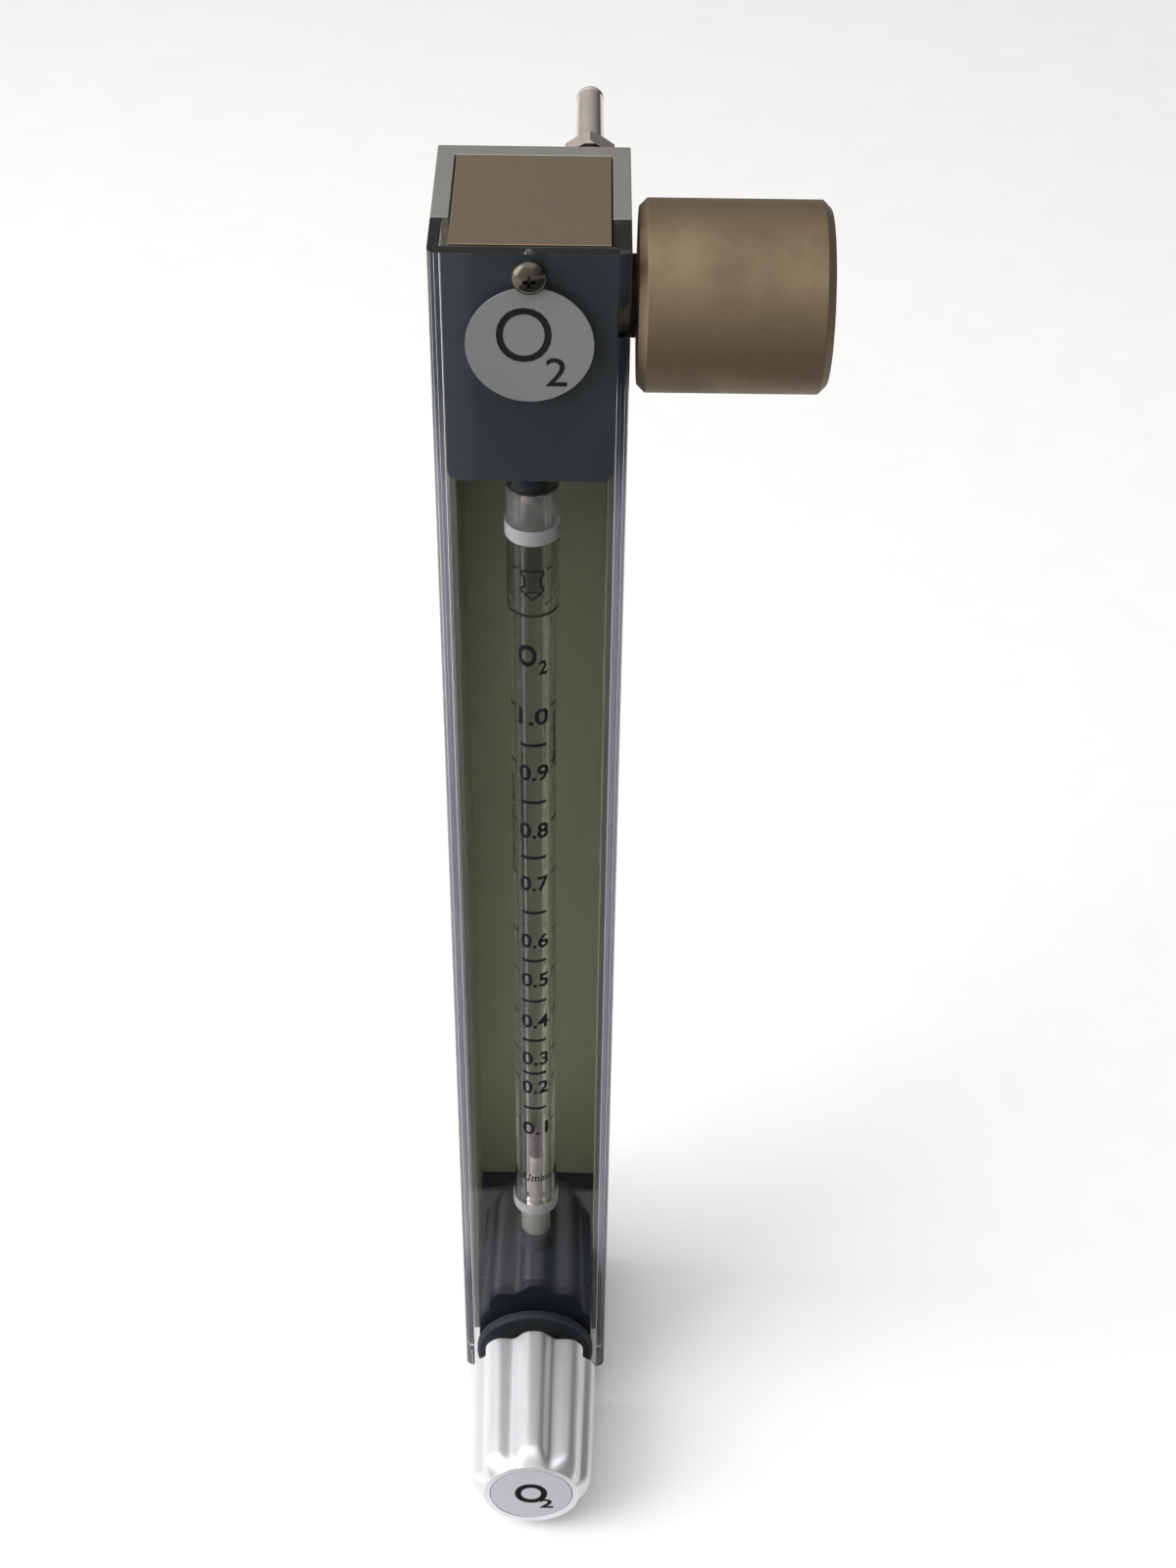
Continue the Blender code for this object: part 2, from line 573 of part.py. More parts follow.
def main():
    holes = build_shared_holes()
    build_channel(holes)
    build_cover(holes)
    build_cover_screw()
    build_label()
    build_top_block(holes)
    build_bottom_block()
    build_tube_group()
    build_valve_group()
    build_knob()
    build_coupling()
    build_rear_fittings()
    build_rear_screws()
    shade_round_pieces()


main()
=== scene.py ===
"""The looks of a single-tube oxygen flowmeter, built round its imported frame.

Metres, in the frame's own axes: +Z up, the front faces -Y, the side coupling points along +X.
A turned piece is a profile of (radius, distance) in millimetres along its own reference line.
"""

import math

import bmesh
import bpy
from mathutils import Matrix, Vector


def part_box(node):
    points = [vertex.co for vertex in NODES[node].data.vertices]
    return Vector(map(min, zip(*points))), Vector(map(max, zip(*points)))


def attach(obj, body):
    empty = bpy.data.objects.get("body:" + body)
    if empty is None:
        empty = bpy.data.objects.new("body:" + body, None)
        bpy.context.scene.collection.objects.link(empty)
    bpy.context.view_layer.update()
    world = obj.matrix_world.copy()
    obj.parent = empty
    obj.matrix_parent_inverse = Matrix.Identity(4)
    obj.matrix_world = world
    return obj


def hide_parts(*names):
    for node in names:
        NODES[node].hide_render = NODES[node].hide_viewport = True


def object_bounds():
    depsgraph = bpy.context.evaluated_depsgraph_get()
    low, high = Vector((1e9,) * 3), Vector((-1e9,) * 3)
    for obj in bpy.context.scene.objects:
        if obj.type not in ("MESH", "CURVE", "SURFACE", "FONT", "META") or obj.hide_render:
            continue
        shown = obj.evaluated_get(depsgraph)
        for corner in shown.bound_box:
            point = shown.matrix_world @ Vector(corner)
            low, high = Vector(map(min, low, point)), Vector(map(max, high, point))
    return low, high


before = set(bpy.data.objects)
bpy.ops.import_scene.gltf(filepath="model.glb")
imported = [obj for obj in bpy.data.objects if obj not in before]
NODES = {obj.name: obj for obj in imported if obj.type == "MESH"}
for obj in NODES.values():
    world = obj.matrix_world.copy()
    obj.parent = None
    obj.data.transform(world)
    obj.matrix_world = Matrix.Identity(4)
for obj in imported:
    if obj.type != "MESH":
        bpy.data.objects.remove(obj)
CAD_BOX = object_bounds()

MM = 0.001


def middle(node):
    low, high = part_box(node)
    return (low + high) / 2.0


# Lines and faces that the pieces are measured from, all read from the frame, in metres.

CHANNEL_LOW, CHANNEL_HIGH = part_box("channel_housing")
COVER_LOW, COVER_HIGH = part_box("front_cover")
MASK_LOW, MASK_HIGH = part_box("top_mask")
TOP_LOW, TOP_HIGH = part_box("top_block")
BASE_LOW, BASE_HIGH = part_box("bottom_block")
LABEL_LOW, LABEL_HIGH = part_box("front_label")
BOTTOM_Z, TOP_Z = CHANNEL_LOW.z, CHANNEL_HIGH.z
FRONT_Y = COVER_LOW.y
TUBE_BASE = Vector((middle("flow_tube").x, middle("flow_tube").y, BOTTOM_Z))
VALVE_FACE = Vector((middle("knob_cap").x, FRONT_Y, middle("knob_cap").z))
COUPLING_BASE = Vector((0.0, middle("coupling_body").y, middle("coupling_body").z))
SCREW_FACE = Vector((middle("cover_screw").x, FRONT_Y, middle("cover_screw").z))
LABEL_RADIUS = (LABEL_HIGH.x - LABEL_LOW.x) / 2.0
LABEL_FACE = Vector((middle("front_label").x, FRONT_Y, LABEL_LOW.z + LABEL_RADIUS))
SPIGOTS = {name: Vector((middle(name + "_washer").x, CHANNEL_HIGH.y,
                         middle(name + "_washer").z)) for name in ("outlet", "inlet")}
REAR_SCREWS = {name: Vector((middle(name).x, CHANNEL_HIGH.y, middle(name).z))
               for name in NODES if name.startswith("rear_screw")}

# Thicknesses in metres.
ARM_THICKNESS = 3.7 * MM
BACK_THICKNESS = 4.2 * MM
COVER_THICKNESS = 2.7 * MM
FLANGE_THICKNESS = 2.35 * MM
COVER_CORNER = 2.0 * MM
MASK_CORNER = 2.5 * MM

# Radii in millimetres. The printing lies just proud of the tube's and the sleeve's outer faces.
TUBE_PRINT_RADIUS = 5.33
SLEEVE_PRINT_RADIUS = 5.93
COUPLING_HOLE = 6.5
VALVE_HOLE = 7.3
COVER_SCREW_HOLE = 2.1
TUBE_SOCKET = 5.2
SPIGOT_HOLE = 4.1
SPIGOT_SOCKET = 4.0

# Facets round a turned piece, from small to large.
COARSE, ROUND, FINE = 64, 96, 128

# Edges up to the first angle are shaded smooth, and a prism's edges above the second bevelled.
SMOOTH_ANGLE = math.radians(32.0)
SHARP_ANGLE = math.radians(40.0)

# A profile's corner is eased where it turns by more than this, over at most this share of a side.
EASED_TURN = math.radians(20.0)
EASED_SHARE = 0.45


# ---------------------------------------------------------------- materials


class Surface:
    """A Principled material, with the nodes that its colour, roughness and relief come from."""

    def __init__(self, name, colour, roughness, metallic=0.0):
        self.material = bpy.data.materials.new(name)
        self.material.use_nodes = True
        self.tree = self.material.node_tree
        self.shader = self.tree.nodes["Principled BSDF"]
        self.output = self.tree.nodes["Material Output"]
        self.place = self.add("ShaderNodeTexCoord").outputs["Object"]
        self.set("Base Color", (*colour, 1.0))
        self.set("Roughness", roughness)
        self.set("Metallic", metallic)

    def add(self, kind, **settings):
        node = self.tree.nodes.new(kind)
        for key, value in settings.items():
            setattr(node, key, value)
        return node

    def set(self, socket, value):
        self.shader.inputs[socket].default_value = value

    def link(self, source, target):
        self.tree.links.new(source, target)

    def noise(self, scale, detail, softness, offset=0.0):
        """Noise whose features per metre are given for each axis."""
        mapping = self.add("ShaderNodeMapping")
        mapping.inputs["Scale"].default_value = scale
        mapping.inputs["Location"].default_value = (offset, offset, offset)
        self.link(self.place, mapping.inputs["Vector"])
        noise = self.add("ShaderNodeTexNoise")
        noise.inputs["Scale"].default_value = 1.0
        noise.inputs["Detail"].default_value = detail
        noise.inputs["Roughness"].default_value = softness
        self.link(mapping.outputs["Vector"], noise.inputs["Vector"])
        return noise.outputs["Fac"]

    def axis(self, letter):
        """The place along one of the object's axes, in metres."""
        split = self.add("ShaderNodeSeparateXYZ")
        self.link(self.place, split.inputs[0])
        return split.outputs[letter]

    def maths(self, operation, first, second=0.0):
        node = self.add("ShaderNodeMath", operation=operation)
        for socket, value in zip(node.inputs, (first, second)):
            if isinstance(value, float):
                socket.default_value = value
            else:
                self.link(value, socket)
        return node.outputs[0]

    def range(self, factor, low, high, to_low=0.0, to_high=1.0):
        """A factor carried from one range to another, and held at its ends."""
        node = self.add("ShaderNodeMapRange")
        self.link(factor, node.inputs["Value"])
        for name, value in (("From Min", low), ("From Max", high),
                            ("To Min", to_low), ("To Max", to_high)):
            node.inputs[name].default_value = value
        return node.outputs["Result"]

    def mix(self, factor, first, second):
        """A colour between two, each a plain colour or a colour socket."""
        node = self.add("ShaderNodeMix", data_type="RGBA")
        self.link(factor, node.inputs[0])
        for socket, value in zip((node.inputs[6], node.inputs[7]), (first, second)):
            if isinstance(value, tuple):
                socket.default_value = (*value, 1.0)
            else:
                self.link(value, socket)
        return node.outputs[2]

    def colour(self, socket):
        """Take the base colour from a socket."""
        self.link(socket, self.shader.inputs["Base Color"])

    def present(self, name):
        """The socket that one of the shader's inputs comes from so far."""
        return self.shader.inputs[name].links[0].from_socket

    def roughness(self, factor, low, high):
        """Let the roughness follow a noise, from low to high."""
        self.link(self.range(factor, 0.25, 0.75, low, high), self.shader.inputs["Roughness"])

    def relief(self, factor, distance):
        """Bump as deep as the given distance in metres."""
        bump = self.add("ShaderNodeBump")
        bump.inputs["Distance"].default_value = distance
        bump.inputs["Strength"].default_value = 1.0
        self.link(factor, bump.inputs["Height"])
        self.link(bump.outputs["Normal"], self.shader.inputs["Normal"])

    def clear(self, index, shadow_colour):
        """Makes the surface clear, and lets lamps shine through to what is behind it."""
        self.set("Transmission Weight", 1.0)
        self.set("IOR", index)
        path = self.add("ShaderNodeLightPath")
        through = self.add("ShaderNodeBsdfTransparent")
        through.inputs["Color"].default_value = (*shadow_colour, 1.0)
        mixer = self.add("ShaderNodeMixShader")
        self.link(path.outputs["Is Shadow Ray"], mixer.inputs[0])
        self.link(self.shader.outputs[0], mixer.inputs[1])
        self.link(through.outputs[0], mixer.inputs[2])
        self.link(mixer.outputs[0], self.output.inputs["Surface"])


def scaled_colour(colour, share):
    return tuple(channel * share for channel in colour)


def worked_metal(name, colour, roughness, grain, contrast, relief=0.000004, tarnish=0.45):
    """Metal with a fine directional grain and broad, darker tarnish."""
    surface = Surface(name, colour, roughness, 1.0)
    lines = surface.noise(grain, 4.0, 0.6)
    broad = surface.noise((70.0, 70.0, 50.0), 3.0, 0.6, 3.0)
    grained = surface.mix(surface.range(lines, 0.3, 0.7), scaled_colour(colour, 1.0 - contrast),
                          scaled_colour(colour, 1.0 + contrast * 0.6))
    stained = surface.range(broad, 0.42, 0.75, 0.0, tarnish)
    surface.colour(surface.mix(stained, grained, scaled_colour(colour, 0.72)))
    surface.roughness(broad, roughness * 0.85, roughness * 1.25)
    surface.relief(lines, relief)
    return surface


def stretch_highlight(surface, axis, amount):
    """Turning marks round an axis stretch the highlights along that axis."""
    tangent = surface.add("ShaderNodeTangent", direction_type="RADIAL", axis=axis)
    surface.link(tangent.outputs[0], surface.shader.inputs["Tangent"])
    surface.set("Anisotropic", amount)
    surface.set("Anisotropic Rotation", 0.25)


def moulded(name, colour, roughness, grain=900.0, relief=0.000006, contrast=0.12, gloss=0.5):
    """Moulded or painted plastic: a fine skin texture and slight unevenness."""
    surface = Surface(name, colour, roughness)
    surface.set("Specular IOR Level", gloss)
    skin = surface.noise((grain, grain, grain), 4.0, 0.6)
    broad = surface.noise((60.0, 60.0, 40.0), 2.0, 0.5, 7.0)
    uneven = surface.range(broad, 0.3, 0.7)
    surface.colour(surface.mix(uneven, scaled_colour(colour, 1.0 - contrast),
                               scaled_colour(colour, 1.0 + contrast * 0.5)))
    surface.roughness(broad, roughness * 0.85, roughness * 1.15)
    surface.relief(skin, relief)
    return surface


def aluminium():
    """Satin aluminium outside, olive inside with painted shade towards the top, and the arms'
    front faces bonded to the cover.
    """
    bare_colour, olive = (0.38, 0.37, 0.345), (0.375, 0.400, 0.262)
    surface = worked_metal("satin_aluminium", bare_colour, 0.42, (1400.0, 1400.0, 12.0), 0.035,
                           0.0000005, 0.15)
    height, depth = surface.axis("Z"), surface.axis("Y")
    width = surface.maths("ABSOLUTE", surface.axis("X"))
    margin = 0.05 * MM

    shade = surface.range(surface.noise((25.0, 25.0, 9.0), 2.0, 0.5, 5.0), 0.3, 0.7)
    lining = surface.mix(shade, scaled_colour(olive, 0.94), scaled_colour(olive, 1.06))
    # Painted shade: the lining darkens upwards to the top block, standing in for the shade under
    # the top block and its mask.
    lining = surface.mix(surface.range(height, BASE_HIGH.z, TOP_LOW.z), lining,
                         scaled_colour(olive, 0.54))
    between = surface.maths("LESS_THAN", width, CHANNEL_HIGH.x - ARM_THICKNESS + margin)
    ahead = surface.maths("LESS_THAN", depth, -BACK_THICKNESS + margin)
    inside = surface.maths("MULTIPLY", between, ahead)
    channel = surface.mix(inside, surface.present("Base Color"), lining)

    # The bonded faces carry a painted reflection, pale along the open length and dark blue-grey
    # beside the blocks, with a painted highlight at the outer left corner where the left lamp
    # falls; the step inside the flange is dark olive.
    above_base = surface.range(height, BASE_HIGH.z - 8.0 * MM, BASE_HIGH.z + 12.0 * MM)
    below_mask = surface.range(height, MASK_LOW.z + 20.0 * MM, MASK_LOW.z - 10.0 * MM)
    open_length = surface.maths("MULTIPLY", above_base, below_mask)
    left_rim_highlight = surface.range(surface.axis("X"), -18.8 * MM, -19.4 * MM)
    bond_reflection = surface.mix(left_rim_highlight, (0.31, 0.31, 0.36), (0.58, 0.56, 0.53))
    bond_reflection = surface.mix(open_length, (0.065, 0.076, 0.092), bond_reflection)
    flange = COVER_HIGH.x - FLANGE_THICKNESS
    under_flange = surface.range(width, flange - 0.1 * MM, flange)
    front_face = surface.mix(under_flange, (0.095, 0.095, 0.073), bond_reflection)
    at_front = surface.maths("LESS_THAN", depth, CHANNEL_LOW.y + margin)
    surface.colour(surface.mix(at_front, channel, front_face))

    bare = surface.maths("SUBTRACT", 1.0, surface.maths("MAXIMUM", inside, at_front))
    surface.link(surface.range(bare, 0.0, 1.0, 0.15, 1.0), surface.shader.inputs["Metallic"])
    return surface


def clear_plastic(name, index, light, reflection, haze=0.01, tint=(1.0, 1.0, 1.0)):
    """Clear material that is crisp to look through, with a faint haze of fine scuffs.

    light is the share of the lamps' light that shines through.
    """
    surface = Surface(name, tint, 0.0)
    surface.clear(index, (light, light, light * 0.99))
    surface.set("Specular Tint", (reflection, reflection, reflection, 1.0))
    scuffs = surface.noise((1500.0, 1500.0, 1500.0), 4.0, 0.65)
    surface.link(surface.range(scuffs, 0.55, 0.8, 1.0, 1.0 - haze),
                 surface.shader.inputs["Transmission Weight"])
    return surface


def sleeve_plastic():
    """Clear sleeve, slightly milky between the upper band and the fitting."""
    surface = clear_plastic("clear_sleeve", 1.15, 0.98, 0.5, 0.03, (0.97, 0.96, 0.95))
    clearness = surface.shader.inputs["Transmission Weight"]
    height = surface.axis("Z")
    above_band = surface.range(height, BOTTOM_Z + 282.0 * MM, BOTTOM_Z + 287.0 * MM)
    below_fitting = surface.range(height, BOTTOM_Z + 297.0 * MM, BOTTOM_Z + 295.0 * MM)
    zone = surface.maths("MULTIPLY", above_band, below_fitting)
    milky = surface.range(zone, 0.0, 1.0, 1.0, 0.965)
    scuffed = surface.present("Transmission Weight")
    surface.link(surface.maths("MULTIPLY", scuffed, milky), clearness)
    return surface


def absorb(surface, colour, density):
    """Long paths inside the clear piece take on a tone."""
    volume = surface.add("ShaderNodeVolumeAbsorption")
    volume.inputs["Color"].default_value = (*colour, 1.0)
    volume.inputs["Density"].default_value = density
    surface.link(volume.outputs[0], surface.output.inputs["Volume"])


def knob_silver():
    """Satin silver paint: bright, with a faint brushed grain along the knob."""
    colour = (0.74, 0.74, 0.77)
    surface = Surface("satin_silver", colour, 0.38, 0.90)
    along = surface.noise((900.0, 10.0, 900.0), 3.0, 0.6)
    broad = surface.noise((60.0, 25.0, 60.0), 2.0, 0.5, 4.0)
    uneven = surface.range(broad, 0.3, 0.75)
    surface.colour(surface.mix(uneven, colour, scaled_colour(colour, 0.90)))
    surface.roughness(broad, 0.35, 0.41)
    surface.relief(along, 0.0000005)
    return surface


def pale_fitting():
    """Satin nickel, paler on the post that stands inside the tube."""
    dull, pale = (0.270, 0.260, 0.235), (0.46, 0.43, 0.39)
    surface = worked_metal("satin_nickel", dull, 0.45, (60.0, 60.0, 1800.0), 0.06)
    post = surface.range(surface.axis("Z"), BOTTOM_Z + 58.0 * MM, BOTTOM_Z + 59.0 * MM)
    surface.colour(surface.mix(post, surface.present("Base Color"), pale))
    surface.set("Metallic", 0.35)
    return surface


def dark_plate():
    """Dark anodised plate, with a painted reflection as a paler blue-grey strip along its left
    side.
    """
    colour, reflection_tone = (0.024, 0.029, 0.032), (0.034, 0.041, 0.050)
    surface = moulded("dark_anodised", colour, 0.42)
    # Painted reflection: a paler blue-grey strip along the plate's left side.
    strip = surface.range(surface.axis("X"), -11.0 * MM, -12.5 * MM)
    surface.colour(surface.mix(strip, surface.present("Base Color"), reflection_tone))
    return surface


ALUMINIUM = aluminium()
BRASS_BLOCK = worked_metal("brushed_brass", (0.262, 0.208, 0.146), 0.42, (25.0, 1700.0, 1700.0),
                           0.05)
BRASS_TURNED = worked_metal("turned_brass", (0.220, 0.167, 0.109), 0.60, (3200.0, 30.0, 30.0),
                            0.025, 0.0000005)
stretch_highlight(BRASS_TURNED, "X", 0.2)
BRONZE = worked_metal("dull_bronze", (0.098, 0.088, 0.074), 0.22, (500.0, 500.0, 500.0), 0.10,
                      0.000002)
STEEL = worked_metal("polished_steel", (0.52, 0.50, 0.47), 0.22, (500.0, 500.0, 500.0), 0.10,
                     0.000002)
NICKEL = worked_metal("nickel_plate", (0.86, 0.77, 0.70), 0.12, (900.0, 60.0, 900.0), 0.10,
                      0.000002)
FITTING = pale_fitting()
MASK = dark_plate()
BLACK = moulded("black_plastic", (0.0095, 0.0125, 0.0160), 0.55, gloss=0.05)
COLLAR = moulded("collar_grey", (0.022, 0.026, 0.030), 0.55, gloss=0.15)
STOP = moulded("stop_grey", (0.17, 0.165, 0.155), 0.5, gloss=0.2)
RUBBER = moulded("black_rubber", (0.012, 0.012, 0.013), 0.7, 1500.0, 0.00001, gloss=0.2)
WHITE = moulded("white_plastic", (0.30, 0.30, 0.31), 0.45, gloss=0.3)
CAP = moulded("cap_grey", (0.44, 0.445, 0.475), 0.48, 1200.0, 0.000003, 0.05, gloss=0.3)
LABEL = moulded("label_foil", (0.154, 0.151, 0.158), 0.55, 1500.0, 0.000003, 0.05, gloss=0.3)
FLOAT = moulded("float_pink", (0.125, 0.084, 0.098), 0.4, gloss=0.3)
PTFE = moulded("white_ptfe", (0.72, 0.72, 0.70), 0.5)
INK = moulded("printing_ink", (0.010, 0.011, 0.012), 0.8, 4000.0, 0.000002, 0.3, gloss=0.05)
KNOB = knob_silver()
ACRYLIC = clear_plastic("clear_acrylic", 1.49, 0.95, 0.12, 0.004)
absorb(ACRYLIC, (0.55, 0.55, 0.66), 40.0)
GLASS = clear_plastic("tube_glass", 1.50, 0.97, 0.25, tint=(0.90, 0.90, 0.90))
SLEEVE = sleeve_plastic()


# ---------------------------------------------------------------- shape helpers


def shade(mesh):
    """Smooth shading between the sharp edges."""
    mesh.shade_smooth()
    mesh.set_sharp_from_angle(angle=SMOOTH_ANGLE)


def link(name, shape, surface):
    """A bmesh as a new object with its material; a solid that only cuts has none."""
    bmesh.ops.recalc_face_normals(shape, faces=shape.faces)
    mesh = bpy.data.meshes.new(name)
    shape.to_mesh(mesh)
    shape.free()
    obj = bpy.data.objects.new(name, mesh)
    bpy.context.scene.collection.objects.link(obj)
    if surface is not None:
        mesh.materials.append(surface.material)
    shade(mesh)
    return obj


def evaluated_mesh(obj):
    """A new mesh with the object's modifiers or curves worked out."""
    bpy.context.view_layer.update()
    evaluated = obj.evaluated_get(bpy.context.evaluated_depsgraph_get())
    return bpy.data.meshes.new_from_object(evaluated)


def even_normals(obj):
    """Flat faces keep flat shading beside their rounded edges."""
    weighted = obj.modifiers.new("weighted_normals", "WEIGHTED_NORMAL")
    weighted.keep_sharp = True
    return obj


def fit(obj, slot, body, *nodes):
    """A piece rides on its body and may stand for CAD nodes, which are hidden; slot is not used.
    """
    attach(obj, body)
    if nodes:
        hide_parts(*nodes)


def eased(profile, radius, steps=3):
    """The profile with each clear corner, save its ends on the axis, made a short curve."""
    closed = profile[0][0] > 0.0
    count = len(profile)
    points = []
    for i, (r, d) in enumerate(profile):
        if not closed and i in (0, count - 1):
            points.append((r, d))
            continue
        here = Vector((r, d))
        before = Vector(profile[i - 1]) - here
        after = Vector(profile[(i + 1) % count]) - here
        if math.pi - before.angle(after) < EASED_TURN:
            points.append((r, d))
            continue
        reach = min(radius, before.length * EASED_SHARE, after.length * EASED_SHARE)
        start = here + before.normalized() * reach
        end = here + after.normalized() * reach
        for k in range(steps + 1):
            t = k / steps
            point = start * (1 - t) ** 2 + here * (2 * t * (1 - t)) + end * t ** 2
            points.append((point.x, point.y))
    return points


def on_axis(axis, base, angle, radius, distance):
    """A point at an angle round an axis through base, sizes in millimetres."""
    across, up = radius * math.sin(angle), radius * math.cos(angle)
    offset = {"X": (distance, across, up), "Y": (across, distance, up),
              "Z": (across, -up, distance)}
    return base + Vector(offset[axis]) * MM


def lathe(name, axis, base, profile, surface, steps, ease, shape_of=None):
    """Turn a profile. It is solid if it starts on the axis, and a closed ring if not.

    shape_of gives the true radius for an angle, a profile radius and a distance.
    """
    solid = profile[0][0] == 0.0
    if ease > 0.0:
        profile = eased(profile, ease)
    shape = bmesh.new()
    rings = []
    for r, d in profile:
        if r == 0.0:
            rings.append([shape.verts.new(on_axis(axis, base, 0.0, 0.0, d))])
            continue
        ring = []
        for i in range(steps):
            angle = 2.0 * math.pi * i / steps
            radius = r if shape_of is None else shape_of(angle, r, d)
            ring.append(shape.verts.new(on_axis(axis, base, angle, radius, d)))
        rings.append(ring)
    pairs = list(zip(rings, rings[1:]))
    if not solid:
        pairs.append((rings[-1], rings[0]))
    for first, second in pairs:
        for i in range(steps):
            j = (i + 1) % steps
            if len(first) == 1:
                shape.faces.new((first[0], second[i], second[j]))
            elif len(second) == 1:
                shape.faces.new((first[i], second[0], first[j]))
            else:
                shape.faces.new((first[i], second[i], second[j], first[j]))
    return even_normals(link(name, shape, surface))


def block(name, low, high, surface, bevel):
    """A box between two corners, all of its edges rounded."""
    shape = bmesh.new()
    place = Matrix.Translation((Vector(high) + Vector(low)) / 2.0)
    size = Matrix.Diagonal((*(Vector(high) - Vector(low)), 1.0))
    bmesh.ops.create_cube(shape, size=1.0, matrix=place @ size)
    bmesh.ops.bevel(shape, geom=shape.edges[:], offset=bevel, segments=3, profile=0.5,
                    affect="EDGES")
    return even_normals(link(name, shape, surface))


def prism(name, near, far, surface, bevel, segments):
    """A solid between two matching outlines, its end edges and sharp corners rounded."""
    shape = bmesh.new()
    first = [shape.verts.new(point) for point in near]
    second = [shape.verts.new(point) for point in far]
    shape.faces.new(first)
    shape.faces.new(second)
    for i in range(len(near)):
        j = (i + 1) % len(near)
        shape.faces.new((first[i], first[j], second[j], second[i]))
    bmesh.ops.recalc_face_normals(shape, faces=shape.faces)
    sharp = [e for e in shape.edges if e.calc_face_angle(0.0) > SHARP_ANGLE]
    bmesh.ops.bevel(shape, geom=sharp, offset=bevel, segments=segments, profile=0.5,
                    affect="EDGES")
    return even_normals(link(name, shape, surface))


def upright(name, outline, surface, bevel):
    """An outline in X and Y given the housing's full height."""
    return prism(name, [(x, y, BOTTOM_Z) for x, y in outline],
                 [(x, y, TOP_Z) for x, y in outline], surface, bevel, 3)


def quarter(centre, radius, start, way):
    """The points of a quarter circle in a plane; way is 1 or -1."""
    turns = [start + way * math.pi / 2.0 * i / 8.0 for i in range(9)]
    return [(centre[0] + radius * math.cos(turn), centre[1] + radius * math.sin(turn))
            for turn in turns]


def carve(obj, cutters, operation="DIFFERENCE"):
    """Cut or join solids for good, and remove the solids used."""
    obj.modifiers.clear()
    for cutter in cutters:
        modifier = obj.modifiers.new(cutter.name, "BOOLEAN")
        modifier.operation = operation
        modifier.object = cutter
        cutter.modifiers.clear()
    mesh = evaluated_mesh(obj)
    obj.modifiers.clear()
    obj.data = mesh
    for cutter in cutters:
        bpy.data.objects.remove(cutter, do_unlink=True)
    shade(mesh)
    return even_normals(obj)


def bore(axis, base, radius, low, high):
    """A plain round cutter along an axis."""
    profile = [(0.0, low), (radius, low), (radius, high), (0.0, high)]
    return lathe("bore", axis, base, profile, None, COARSE, 0.0)


def coupling_bore():
    """The cutter for the coupling's neck, through the right side of the channel or the cover."""
    return bore("X", COUPLING_BASE, COUPLING_HOLE, 10.0, 24.0)


def cross_cutters(centre, length, width, depth, towards):
    """Two crossed tapering bars for a screwdriver's recess, which open towards -Y or +Y."""
    inner_long, inner_short, proud = 0.55, 0.7, 0.6 * MM
    bars = []
    for along_x in (True, False):
        shape = bmesh.new()
        bmesh.ops.create_cube(shape, size=1.0)
        for vert in shape.verts:
            outer = vert.co.y * towards > 0.0
            half_long = vert.co.x * length * (1.0 if outer else inner_long)
            half_short = vert.co.z * width * (1.0 if outer else inner_short)
            x, z = (half_long, half_short) if along_x else (half_short, half_long)
            y = (proud if outer else -depth) * towards
            vert.co = centre + Vector((x, y, z))
        bars.append(link("cross_bar", shape, None))
    return bars


# ---------------------------------------------------------------- printing


# Millimetres: the ink's thickness on flat faces and on the tube, and the width of the slices
# that let a flat print bend round the tube. The last is a share that keeps sharp mitres short.
FLAT_INK, ROUND_INK = 0.05, 0.03
SLICE_WIDTH = 0.35
SHARPEST_MITRE = 0.35


def letters(body, left, right, low, high, weight):
    """Flat characters made heavier by a weight, scaled into a rectangle, in millimetres."""
    curve = bpy.data.curves.new("letters", "FONT")
    curve.body = body
    curve.size = 10.0
    curve.offset = weight
    curve.resolution_u = 5
    guide = bpy.data.objects.new("letters", curve)
    bpy.context.scene.collection.objects.link(guide)
    mesh = evaluated_mesh(guide)
    bpy.data.objects.remove(guide, do_unlink=True)
    shape = bmesh.new()
    shape.from_mesh(mesh)
    bpy.data.meshes.remove(mesh)
    bmesh.ops.remove_doubles(shape, verts=shape.verts, dist=0.0005)
    xs = [v.co.x for v in shape.verts]
    ys = [v.co.y for v in shape.verts]
    across = (right - left) / (max(xs) - min(xs))
    upward = (high - low) / (max(ys) - min(ys))
    for vert in shape.verts:
        vert.co.x = left + (vert.co.x - min(xs)) * across
        vert.co.y = low + (vert.co.y - min(ys)) * upward
    return shape


def outline_strip(points, width, closed=True):
    """A line of even width through points in a plane, in millimetres."""
    shape = bmesh.new()
    count = len(points)
    last = count - 1
    rows = []
    for i in range(count):
        here = Vector(points[i])
        before = Vector(points[i - 1]) if closed or i > 0 else here * 2 - Vector(points[i + 1])
        after = Vector(points[(i + 1) % count]) if closed or i < last else here * 2 - before
        first = (here - before).normalized()
        second = (after - here).normalized()
        normal = Vector((-first.y - second.y, first.x + second.x)).normalized()
        lean = max(SHARPEST_MITRE, normal.dot(Vector((-first.y, first.x))))
        offset = normal * (width / 2.0 / lean)
        rows.append([shape.verts.new((*point, 0.0)) for point in (here + offset, here - offset)])
    for i in range(count if closed else last):
        j = (i + 1) % count
        shape.faces.new((rows[i][0], rows[i][1], rows[j][1], rows[j][0]))
    return shape


def merged(shapes):
    """Several flat shapes as one."""
    whole = bmesh.new()
    for shape in shapes:
        mesh = bpy.data.meshes.new("part")
        shape.to_mesh(mesh)
        shape.free()
        whole.from_mesh(mesh)
        bpy.data.meshes.remove(mesh)
    return whole


def thicken(shape, thickness):
    """Give a flat shape in X and Y a thickness above its plane."""
    made = bmesh.ops.extrude_face_region(shape, geom=shape.faces[:])
    for item in made["geom"]:
        if isinstance(item, bmesh.types.BMVert):
            item.co.z += thickness


